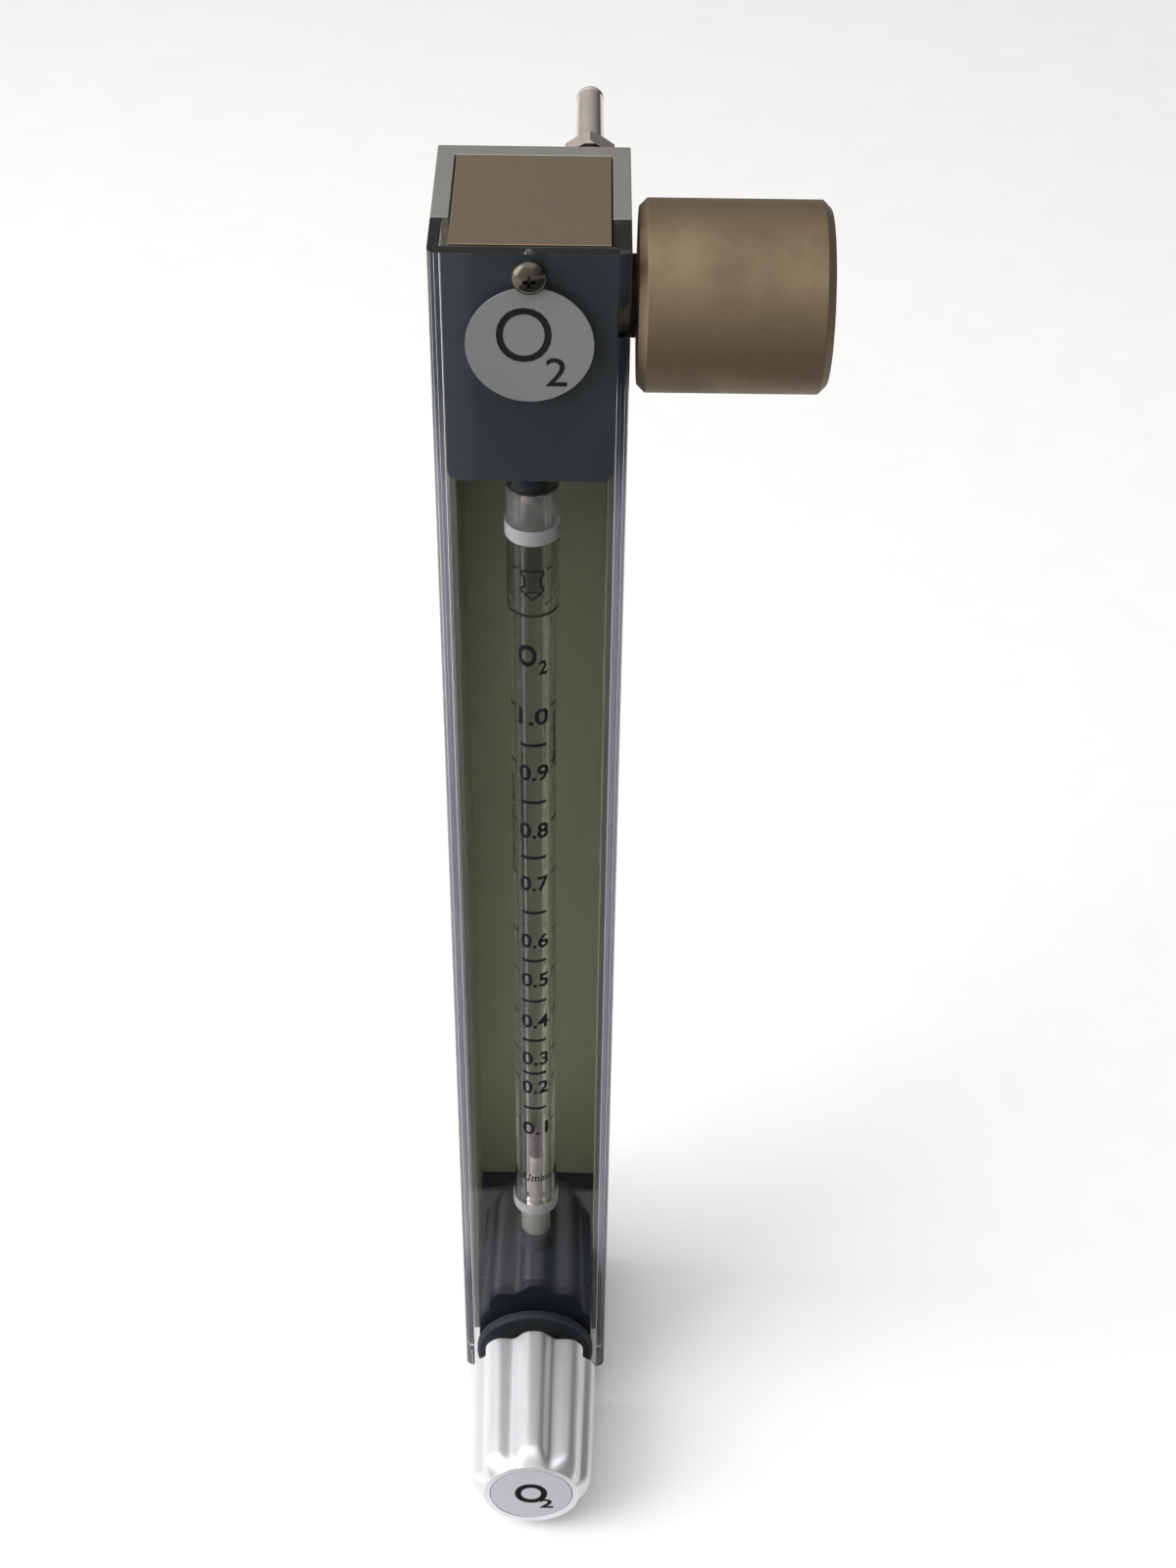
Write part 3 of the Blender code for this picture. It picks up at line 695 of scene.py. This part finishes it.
def print_flat(name, shape, face, distance, slot, body):
    """Ink on a face that looks along -Y."""
    thicken(shape, FLAT_INK)
    for vert in shape.verts:
        x, z, raised = vert.co
        vert.co = face + Vector((x, distance - raised, z)) * MM
    fit(link(name, shape, INK), slot, body)


def print_round(name, shape, radius):
    """Ink wrapped round the tube: X in the plane becomes the way round, Y the height."""
    xs = [v.co.x for v in shape.verts]
    cut_at = math.floor(min(xs) / SLICE_WIDTH) * SLICE_WIDTH
    while cut_at < max(xs):
        everything = shape.verts[:] + shape.edges[:] + shape.faces[:]
        bmesh.ops.bisect_plane(shape, geom=everything, dist=1e-5, plane_co=(cut_at, 0.0, 0.0),
                               plane_no=(1.0, 0.0, 0.0))
        cut_at += SLICE_WIDTH
    thicken(shape, ROUND_INK)
    for vert in shape.verts:
        x, height, raised = vert.co
        vert.co = on_axis("Z", TUBE_BASE, x / radius, radius + raised, height)
    fit(link(name, shape, INK), "glass", "housing")


# ---------------------------------------------------------------- housing


def build_channel():
    """The aluminium U channel, with the holes that its screws and fittings pass through."""
    half = CHANNEL_HIGH.x
    inner = half - ARM_THICKNESS
    front, rear = CHANNEL_LOW.y, CHANNEL_HIGH.y
    inside = rear - BACK_THICKNESS
    outline = [(-half, front), (-half, rear), (half, rear), (half, front),
               (inner, front), (inner, inside), (-inner, inside), (-inner, front)]
    channel = upright("channel_extrusion", outline, ALUMINIUM, 0.18 * MM)
    cutters = [coupling_bore()]
    for base in SPIGOTS.values():
        cutters.append(bore("Y", base, SPIGOT_HOLE, -8.0, 2.0))
    sink = [(0.0, 0.5), (4.3, 0.5), (3.8, 0.0), (2.1, -2.3), (2.1, -8.0), (0.0, -8.0)]
    for base in REAR_SCREWS.values():
        cutters.append(lathe("sink", "Y", base, sink, None, COARSE, 0.0))
    fit(carve(channel, cutters), "aluminium", "housing", "channel_housing")


def build_cover():
    """The clear cover: a front plate and two flanges, its outer corners well rounded."""
    half, rear = COVER_HIGH.x, COVER_HIGH.y
    inner = half - FLANGE_THICKNESS
    inside = FRONT_Y + COVER_THICKNESS
    outline = []
    for side, start in ((-1.0, math.pi), (1.0, 1.5 * math.pi)):
        centre = (side * (half - COVER_CORNER), FRONT_Y + COVER_CORNER)
        outline += quarter(centre, COVER_CORNER, start, 1.0)
    outline += [(half, rear), (inner, rear), (inner, inside),
                (-inner, inside), (-inner, rear), (-half, rear)]
    cover = upright("clear_cover", outline, ACRYLIC, 0.12 * MM)
    carve(cover, [coupling_bore(), bore("Y", SCREW_FACE, COVER_SCREW_HOLE, -2.0, 6.0),
                  bore("Y", VALVE_FACE, VALVE_HOLE, -2.0, 6.0)])
    fit(cover, "acrylic", "housing", "front_cover")


def build_blocks():
    """The brass block and its dark mask at the top, and the black block at the bottom."""
    top = block("brass_top_block", TOP_LOW, TOP_HIGH, BRASS_BLOCK, 0.15 * MM)
    carve(top, [bore("Z", TUBE_BASE, TUBE_SOCKET, 300.0, 321.6),
                bore("X", COUPLING_BASE, 6.2, 2.0, 20.0),
                bore("Y", SCREW_FACE, 2.0, -1.0, 14.0),
                bore("Y", SPIGOTS["outlet"], SPIGOT_SOCKET, -18.0, 0.0)])
    fit(top, "brass", "housing", "top_block")
    mask = mask_plate("dark_mask", MASK_LOW, MASK_HIGH, MASK_CORNER, MASK, 0.08 * MM)
    carve(mask, [bore("Y", SCREW_FACE, COVER_SCREW_HOLE, -1.0, 6.0)])
    fit(mask, "black_metal", "housing", "top_mask")
    base = block("black_base_block", BASE_LOW, BASE_HIGH, BLACK, 0.35 * MM)
    carve(base, [bore("Z", TUBE_BASE, TUBE_SOCKET, 22.0, 45.0),
                 bore("Y", VALVE_FACE, VALVE_HOLE, -1.0, 15.0),
                 bore("Y", SPIGOTS["inlet"], SPIGOT_SOCKET, -13.0, 0.0)])
    fit(base, "black_plastic", "housing", "bottom_block")


def mask_plate(name, low, high, corner, surface, bevel):
    """A thin upright plate whose two lower corners are rounded."""
    outline = [(low.x, high.z), (high.x, high.z)]
    for centre_x, start in ((high.x - corner, 0.0), (low.x + corner, -math.pi / 2.0)):
        outline += quarter((centre_x, low.z + corner), corner, start, -1.0)
    return prism(name, [(x, low.y, z) for x, z in outline],
                 [(x, high.y, z) for x, z in outline], surface, bevel, 2)


def build_cover_screw():
    """The domed screw, its head rounded and its recess cut."""
    radius, rim, rise, steps = 3.6, -0.9, 1.9, 17
    turns = [math.pi / 2.0 * i / steps for i in range(steps)]
    dome = [(radius * math.cos(turn), rim - rise * math.sin(turn)) for turn in turns]
    profile = [(0.0, 12.0), (1.7, 12.0), (1.7, -0.1), (radius, -0.1), *dome,
               (0.3, -2.79), (0.0, -2.8)]
    screw = lathe("domed_screw", "Y", SCREW_FACE, profile, BRONZE, ROUND, 0.08)
    centre = SCREW_FACE + Vector((0.0, -2.65 * MM, 0.0))
    carve(screw, cross_cutters(centre, 3.0 * MM, 0.7 * MM, 1.0 * MM, -1.0))
    fit(screw, "steel", "housing", "cover_screw")


def build_label():
    """The round gas label, notched round the screw, with its printed mark."""
    radius = LABEL_RADIUS / MM
    profile = [(0.0, -0.1), (radius, -0.1), (radius, -0.46), (0.0, -0.46)]
    label = lathe("gas_label", "Y", LABEL_FACE, profile, LABEL, FINE, 0.1)
    carve(label, [bore("Y", SCREW_FACE, 3.8, -2.0, 2.0)])
    fit(label, "label", "housing", "front_label")
    base = (BOTTOM_Z - LABEL_FACE.z) / MM
    mark = merged([letters("O", -6.7, 4.4, base + 336.3, base + 348.5, -0.05),
                   letters("2", 3.2, 7.5, base + 330.8, base + 337.3, 0.05)])
    print_flat("label_mark", mark, LABEL_FACE, -0.45, "label", "housing")


def build_rear_screws():
    """The four countersunk screws in the channel's back."""
    profile = [(0.0, -0.2), (3.5, -0.2), (1.7, -2.2), (1.7, -15.0), (0.0, -15.0)]
    for name, base in REAR_SCREWS.items():
        screw = lathe(name + "_cut", "Y", base, profile, STEEL, COARSE, 0.12)
        centre = base + Vector((0.0, -0.2 * MM, 0.0))
        carve(screw, cross_cutters(centre, 3.0 * MM, 0.8 * MM, 1.1 * MM, 1.0))
        fit(screw, "steel", "housing", name)


# ---------------------------------------------------------------- tube


def build_tube():
    """The glass tube in its two clear sleeves, with bands, fittings, stop, gland and float.

    Each distance is a height above the housing's bottom.
    """
    pieces = (
        ("glass_tube", "glass", GLASS, 0.25, "flow_tube",
         [(2.75, 296.0), (5.3, 296.0), (5.3, 58.6), (2.25, 58.6)]),
        ("clear_upper_sleeve", "sleeve", SLEEVE, 0.2, "upper_sleeve",
         [(4.62, 305.9), (5.9, 305.9), (5.9, 264.7), (5.42, 264.7), (5.42, 296.2), (4.62, 296.2)]),
        ("clear_lower_sleeve", "sleeve", SLEEVE, 0.15, "lower_sleeve",
         [(5.42, 70.0), (5.6, 70.0), (5.9, 64.0), (5.9, 55.4), (4.15, 55.4), (4.15, 58.4),
          (5.42, 58.4)]),
        ("white_upper_band", "white_plastic", WHITE, 0.1, "upper_band",
         [(5.98, 287.2), (6.22, 287.2), (6.22, 283.5), (5.98, 283.5)]),
        ("white_lower_band", "white_plastic", WHITE, 0.1, "lower_band",
         [(5.98, 59.6), (6.22, 59.6), (6.22, 55.7), (5.98, 55.7)]),
        ("black_end_ring", "rubber", RUBBER, 0.08, "sleeve_end_ring",
         [(5.42, 264.4), (5.88, 264.4), (5.88, 264.05), (5.42, 264.05)]),
        ("black_upper_fitting", "black_plastic", BLACK, 0.15, "upper_fitting",
         [(2.0, 321.2), (4.9, 321.2), (4.9, 315.0), (3.95, 315.0), (3.95, 313.6), (4.9, 313.6),
          (4.9, 306.1), (4.5, 306.1), (4.5, 296.4), (2.0, 296.4)]),
        ("float_stop", "rubber", STOP, 0.12, "upper_stop",
         [(1.0, 296.0), (2.5, 296.0), (2.5, 292.8), (1.0, 292.8)]),
        ("nickel_lower_fitting", "nickel", FITTING, 0.12, "lower_fitting",
         [(1.0, 76.0), (1.3, 76.0), (1.75, 75.0), (1.75, 66.0), (1.95, 65.0), (1.95, 58.3),
          (4.05, 58.3), (4.05, 39.5), (4.9, 38.6), (4.9, 31.0), (3.95, 31.0), (3.95, 29.6),
          (4.9, 29.6), (4.9, 22.4), (1.0, 22.4)]),
        ("round_gland", "black_plastic", BLACK, 0.15, "lower_gland",
         [(4.35, 44.5), (5.3, 44.5), (5.7, 44.1), (5.7, 39.3), (4.35, 39.3)]),
    )
    for name, slot, surface, ease, node, profile in pieces:
        fit(lathe(name, "Z", TUBE_BASE, profile, surface, ROUND, ease), slot, "housing", node)
    profile = [(0.0, 87.6), (0.7, 87.6), (2.05, 86.2), (2.05, 84.4), (1.75, 83.8), (1.75, 79.0),
               (2.05, 78.4), (2.05, 77.2), (1.5, 76.3), (0.0, 76.3)]
    waisted = lathe("waisted_float", "Z", TUBE_BASE, profile, FLOAT, COARSE, 0.3)
    fit(waisted, "float", "float", "float")


# The middle of each number of the scale, in millimetres above the housing's bottom.
NUMBER_HEIGHTS = {"1.0": 234.9, "0.9": 217.8, "0.8": 199.5, "0.7": 182.0, "0.6": 162.3,
                  "0.5": 148.3, "0.4": 133.1, "0.3": 118.9, "0.2": 107.8, "0.1": 91.3}
NUMBER_SIZE = 4.9
TICK_RISE = 2.2


def arc_line(start, end, height, width):
    """A short printed line round the tube, as a flat strip."""
    count = 8
    points = [(start + (end - start) * i / count, height) for i in range(count + 1)]
    return outline_strip(points, width, closed=False)


def side_column(words, low, high, start):
    """A line of small letters that reads upwards, its top at a place round the tube."""
    column = letters(words, low, high, 0.0, 1.5, 0.1)
    for vert in column.verts:
        vert.co.x, vert.co.y = start - vert.co.y, vert.co.x
    return column


def flow_arrow():
    """The outline of an arrow that points down, with a short tick at each side of it."""
    half = [(2.5, 276.6), (2.5, 275.3), (1.85, 275.1), (1.85, 272.3), (2.5, 272.1), (2.5, 271.2)]
    outline = [(-x, height) for x, height in reversed(half)] + half + [(0.0, 269.0)]
    lines = [outline_strip(outline, 0.42)]
    for side in (-1.0, 1.0):
        lines.append(arc_line(side * 3.3, side * 5.0, 276.9, 0.4))
    return merged(lines)


def build_printing():
    """The tube's scale: numbers, marks at the sides and between, gas mark, texts and arrow.

    Each place is a distance round the tube from its front and a height, in millimetres.
    """
    numbers, marks = [], []
    for label, height in NUMBER_HEIGHTS.items():
        low, high = height - NUMBER_SIZE / 2.0, height + NUMBER_SIZE / 2.0
        numbers.append(letters(label, -3.5, 3.8, low, high, 0.22))
        for side in (-1.0, 1.0):
            marks.append(arc_line(side * 4.6, side * 7.4, height + TICK_RISE, 0.5))
    heights = list(NUMBER_HEIGHTS.values())
    for above, below in zip(heights, heights[1:]):
        marks.append(arc_line(-3.2, 3.2, (above + below) / 2.0, 0.9))
    print_round("scale_numbers", merged(numbers), TUBE_PRINT_RADIUS)
    print_round("scale_marks", merged(marks), TUBE_PRINT_RADIUS)
    gas = [letters("O", -3.6, 0.9, 249.6, 255.9, 0.35), letters("2", 1.3, 3.5, 247.2, 251.3, 0.25)]
    print_round("gas_mark", merged(gas), TUBE_PRINT_RADIUS)
    print_round("unit_mark", letters("L/min", -3.4, 3.4, 69.2, 72.4, 0.15), TUBE_PRINT_RADIUS)
    columns = [side_column("LITRES PER MINUTE", 217.5, 234.5, 6.9),
               side_column("OXYGEN LITRES PER MINUTE", 184.0, 215.0, -5.4)]
    print_round("side_text", merged(columns), TUBE_PRINT_RADIUS)
    print_round("flow_arrow", flow_arrow(), SLEEVE_PRINT_RADIUS)


# ---------------------------------------------------------------- knob


# Millimetres, measured from the cover's front face along the knob's axis.
LOBES = 8
KNOB_REAR, KNOB_FRONT = -7.5, -49.2
KNOB_RADIUS_REAR, KNOB_RADIUS_FRONT = 17.4, 16.2
KNOB_TAPER_END = KNOB_FRONT - 1.0
KNOB_EDGE = 13.0
KNOB_CONE_SLOPE = 0.875
KNOB_EASING = 0.7
CONE_BLEND = 1.1
FLUTE_DEPTH, FLUTE_SHARPNESS = 2.4, 1.6


def lobed(angle, outer):
    """Broad round lobes with narrower hollows between them."""
    wave = 0.5 - 0.5 * math.cos(LOBES * angle)
    return outer - FLUTE_DEPTH * wave ** FLUTE_SHARPNESS


def knob_section(angle, radius, distance):
    """The knob's outer side: a slightly tapered lobed bar, blended into the front cone.

    Its rear edge is eased by a quarter circle, and whatever lies within the front edge stays.
    """
    if radius < KNOB_EDGE + 0.001:
        return radius
    share = (distance - KNOB_REAR) / (KNOB_TAPER_END - KNOB_REAR)
    side = lobed(angle, KNOB_RADIUS_REAR + (KNOB_RADIUS_FRONT - KNOB_RADIUS_REAR) * share)
    cone = KNOB_EDGE + (distance - KNOB_FRONT) / KNOB_CONE_SLOPE
    lowest = min(side, cone)
    blended = lowest - CONE_BLEND * math.log(math.exp((lowest - side) / CONE_BLEND)
                                             + math.exp((lowest - cone) / CONE_BLEND))
    back = max(0.0, KNOB_EASING - (KNOB_REAR - distance))
    return blended - (KNOB_EASING - math.sqrt(KNOB_EASING ** 2 - back ** 2))


def build_knob():
    """The fluted knob with its face disc and printed mark, and the collar behind it."""
    straight, lobe_facets = 36.0, 28
    rear_count, side_count, cone_count = 5, 12, 16
    turns = [math.pi / 2.0 * i / rear_count for i in range(rear_count + 1)]
    steps = [KNOB_REAR - KNOB_EASING * (1.0 - math.cos(turn)) for turn in turns]
    steps += [KNOB_REAR - KNOB_EASING - straight * i / side_count
              for i in range(1, side_count + 1)]
    cone_start = steps[-1]
    steps += [cone_start + (KNOB_FRONT - cone_start) * i / cone_count
              for i in range(1, cone_count)]
    profile = [(12.5, KNOB_REAR), *((KNOB_RADIUS_REAR, d) for d in steps),
               (KNOB_EDGE, KNOB_FRONT), (11.5, KNOB_FRONT), (11.3, KNOB_FRONT + 0.2),
               (11.3, -47.5), (5.0, -47.5), (5.0, -43.0), (1.7, -43.0), (1.7, -41.0),
               (3.3, -41.0), (3.3, -10.5), (12.5, -10.5)]
    knob = lathe("fluted_knob", "Y", VALVE_FACE, profile, KNOB, LOBES * lobe_facets, 0.0,
                 knob_section)
    fit(knob, "knob", "knob", "knob_body")

    disc_front = KNOB_FRONT + 0.05
    profile = [(0.0, -47.8), (11.2, -47.8), (11.2, disc_front), (0.0, disc_front)]
    fit(lathe("face_disc", "Y", VALVE_FACE, profile, CAP, FINE, 0.3), "cap", "knob", "knob_cap")
    base = (BOTTOM_Z - VALVE_FACE.z) / MM
    mark = merged([letters("O", -4.5, 4.4, base + 5.9, base + 14.9, 0.25),
                   letters("2", 2.3, 6.0, base + 3.5, base + 7.7, 0.25)])
    print_flat("knob_mark", mark, VALVE_FACE, KNOB_FRONT + 0.06, "cap", "knob")

    profile = [(7.2, -0.3), (16.6, -0.3), (16.6, -2.2), (16.0, -2.8), (7.2, -2.8)]
    collar = lathe("dark_collar", "Y", VALVE_FACE, profile, COLLAR, FINE, 0.25)
    fit(collar, "black_plastic", "housing", "knob_collar")


# ---------------------------------------------------------------- coupling and spigots


THREAD_PITCH, THREAD_DEPTH = 1.814, 0.85
PORT_RADIUS = 9.6


def threaded(angle, radius, distance):
    """The port's wall follows a helix; every other radius stays."""
    if abs(radius - PORT_RADIUS) > 1e-6:
        return radius
    phase = (distance / THREAD_PITCH - angle / (2.0 * math.pi)) % 1.0
    return radius + THREAD_DEPTH * (1.0 - abs(2.0 * phase - 1.0))


def build_coupling():
    """The turned brass coupling with a threaded port in its end, and the washer behind it."""
    low, high, outer, chamfer = 21.6, 60.6, 19.6, 1.7
    port_depth, run_out, lead_in = 16.0, 1.4, 1.2
    floor = high - port_depth
    rings = 56
    turned = [(PORT_RADIUS + 1.3, high), (outer - chamfer, high), (outer, high - chamfer),
              (outer, low + chamfer), (outer - chamfer, low), (6.2, low), (6.2, 34.0),
              (3.0, 34.0), (3.0, floor), (10.9, floor), (10.9, floor + 1.2)]
    thread = [(PORT_RADIUS, floor + run_out + (high - lead_in - floor - run_out) * i / rings)
              for i in range(rings + 1)]
    body = lathe("brass_coupling", "X", COUPLING_BASE, eased(turned, 0.18) + thread,
                 BRASS_TURNED, FINE, 0.0, threaded)
    fit(body, "brass", "housing", "coupling_body")
    profile = [(6.3, 21.3), (8.5, 21.3), (8.5, 20.3), (6.3, 20.3)]
    washer = lathe("coupling_seal", "X", COUPLING_BASE, profile, RUBBER, ROUND, 0.2)
    fit(washer, "black_plastic", "housing", "coupling_washer")


def build_spigot(name, base):
    """A nickel hose spigot: hexagon with turned corners, slim taper, lip and gas bore."""
    profile = [(1.5, 34.0), (2.7, 34.0), (3.05, 33.6), (3.05, 33.0), (2.9, 32.6), (3.15, 6.2),
               (3.7, 6.2), (3.7, -12.0), (1.5, -12.0)]
    shank = lathe(name + "_hose_spigot", "Y", base, profile, NICKEL, COARSE, 0.15)
    sides = [(0.0, 1.1), (6.0, 1.1), (6.0, 6.1), (0.0, 6.1)]
    hexagon = lathe("hexagon", "Y", base, sides, NICKEL, 6, 0.0)
    corners = [(0.0, 1.1), (5.45, 1.1), (6.1, 1.5), (6.1, 5.5), (5.2, 6.1), (0.0, 6.1)]
    turned_corners = lathe("corners", "Y", base, corners, None, COARSE, 0.0)
    carve(hexagon, [turned_corners], "INTERSECT")
    carve(hexagon, [bore("Y", base, 2.5, -1.0, 8.0)])
    carve(shank, [hexagon], "UNION")
    fit(shank, "nickel", "housing", name + "_spigot")
    profile = [(3.85, 0.8), (5.1, 0.8), (5.1, 0.1), (3.85, 0.1)]
    washer = lathe(name + "_seal", "Y", base, profile, RUBBER, COARSE, 0.15)
    fit(washer, "black_plastic", "housing", name + "_washer")


# ---------------------------------------------------------------- inner CAD pieces


INNER_FINISH = (
    (BRASS_TURNED, ("valve_body", "needle_guide", "coupling_neck")),
    (STEEL, ("bonnet_nut", "spindle", "needle", "knob_screw")),
    (RUBBER, ("upper_fitting_seal", "lower_fitting_seal", "valve_body_seal", "spindle_seal")),
    (PTFE, ("valve_seat",)),
)


def finish_inner_pieces():
    """The CAD nodes that are kept as they are get their materials."""
    for surface, names in INNER_FINISH:
        for name in names:
            mesh = NODES[name].data
            mesh.materials.clear()
            mesh.materials.append(surface.material)


# ---------------------------------------------------------------- stage, light and camera


def build_floor():
    """A pale floor, just below the housing."""
    mesh = bmesh.new()
    bmesh.ops.create_grid(mesh, x_segments=1, y_segments=1, size=6.0,
                          matrix=Matrix.Translation((0.0, 0.0, CAD_BOX[0].z - 0.2 * MM)))
    paint = moulded("pale_floor", (0.90, 0.90, 0.90), 0.9, 60.0, 0.00002, 0.01)
    link("floor", mesh, paint)


def build_flag():
    """A dark studio flag just above the floor in front, seen only in reflections."""
    width, depth, right, ahead = 1.5, 1.1, 0.50, 0.62
    mesh = bmesh.new()
    bmesh.ops.create_grid(mesh, x_segments=1, y_segments=1, size=0.5)
    for vert in mesh.verts:
        vert.co.x = vert.co.x * width + right
        vert.co.y = FRONT_Y + vert.co.y * depth - ahead
        vert.co.z = CAD_BOX[0].z + 1.0 * MM
    flag = link("dark_flag", mesh, moulded("flag_cloth", (0.10, 0.105, 0.11), 0.9, 200.0, 0.0001))
    flag.visible_camera = False
    flag.visible_diffuse = False
    flag.visible_shadow = False


def soft_box(name, place, target, width, height, watts, colour=(1.0, 1.0, 1.0)):
    """A rectangular lamp that looks at a target."""
    light = bpy.data.lights.new(name, "AREA")
    light.shape = "RECTANGLE"
    light.size = width
    light.size_y = height
    light.energy = watts
    light.color = colour
    obj = bpy.data.objects.new(name, light)
    bpy.context.scene.collection.objects.link(obj)
    obj.location = place
    obj.rotation_euler = (Vector(target) - Vector(place)).to_track_quat("-Z", "Y").to_euler()


def build_world():
    """Even studio surroundings: brighter overhead, in front and on the left, never black."""
    shares = (("X", -0.48), ("Y", -0.16), ("Z", 0.46))
    level, least = 0.40, 0.03
    world = bpy.data.worlds.new("studio")
    bpy.context.scene.world = world
    world.use_nodes = True
    tree = world.node_tree
    background = tree.nodes["Background"]
    direction = tree.nodes.new("ShaderNodeTexCoord").outputs["Generated"]
    split = tree.nodes.new("ShaderNodeSeparateXYZ")
    tree.links.new(direction, split.inputs[0])
    total = None
    for letter, share in shares:
        part = tree.nodes.new("ShaderNodeMath")
        part.operation = "MULTIPLY_ADD"
        tree.links.new(split.outputs[letter], part.inputs[0])
        part.inputs[1].default_value = share
        if total is None:
            part.inputs[2].default_value = level
        else:
            tree.links.new(total, part.inputs[2])
        total = part.outputs[0]
    held = tree.nodes.new("ShaderNodeMath")
    held.operation = "MAXIMUM"
    held.inputs[1].default_value = least
    tree.links.new(total, held.inputs[0])
    tree.links.new(held.outputs[0], background.inputs["Strength"])
    background.inputs["Color"].default_value = (1.0, 0.995, 0.985, 1.0)


def build_lights():
    """A broad soft lamp overhead, and a slightly warm one on the left."""
    centre = (CAD_BOX[0] + CAD_BOX[1]) / 2.0
    soft_box("overhead", (-0.1, -0.25, 1.35), centre, 1.9, 1.6, 7.5)
    soft_box("left_key", (-1.0, -0.35, 0.55), centre, 1.0, 1.2, 14.0, (1.0, 0.985, 0.96))


def build_camera():
    """The viewpoint: 41 degrees above the front, just right of the middle, slightly rolled."""
    azimuth, elevation, roll = math.radians(-0.26), math.radians(40.94), math.radians(0.85)
    place = (0.01099, -0.46091, 0.40469)
    right = Vector((math.cos(azimuth), math.sin(azimuth), 0.0))
    forward = Vector((-math.sin(azimuth) * math.cos(elevation),
                      math.cos(azimuth) * math.cos(elevation), -math.sin(elevation)))
    up = right.cross(forward)
    rolled_right = right * math.cos(roll) + up * math.sin(roll)
    rolled_up = up * math.cos(roll) - right * math.sin(roll)
    rows = Matrix((rolled_right, rolled_up, -forward)).transposed()
    data = bpy.data.cameras.new("viewpoint")
    data.sensor_width = 36.0
    data.lens = 54.8
    data.clip_start = 0.01
    data.clip_end = 50.0
    camera = bpy.data.objects.new("viewpoint", data)
    bpy.context.scene.collection.objects.link(camera)
    camera.matrix_world = Matrix.Translation(place) @ rows.to_4x4()
    bpy.context.scene.camera = camera


bpy.context.scene.view_settings.view_transform = "Standard"
build_camera()
build_world()
build_lights()
build_floor()
build_flag()
build_channel()
build_cover()
build_blocks()
build_cover_screw()
build_label()
build_rear_screws()
build_tube()
build_printing()
build_knob()
build_coupling()
for spigot_name, spigot_base in SPIGOTS.items():
    build_spigot(spigot_name, spigot_base)
finish_inner_pieces()
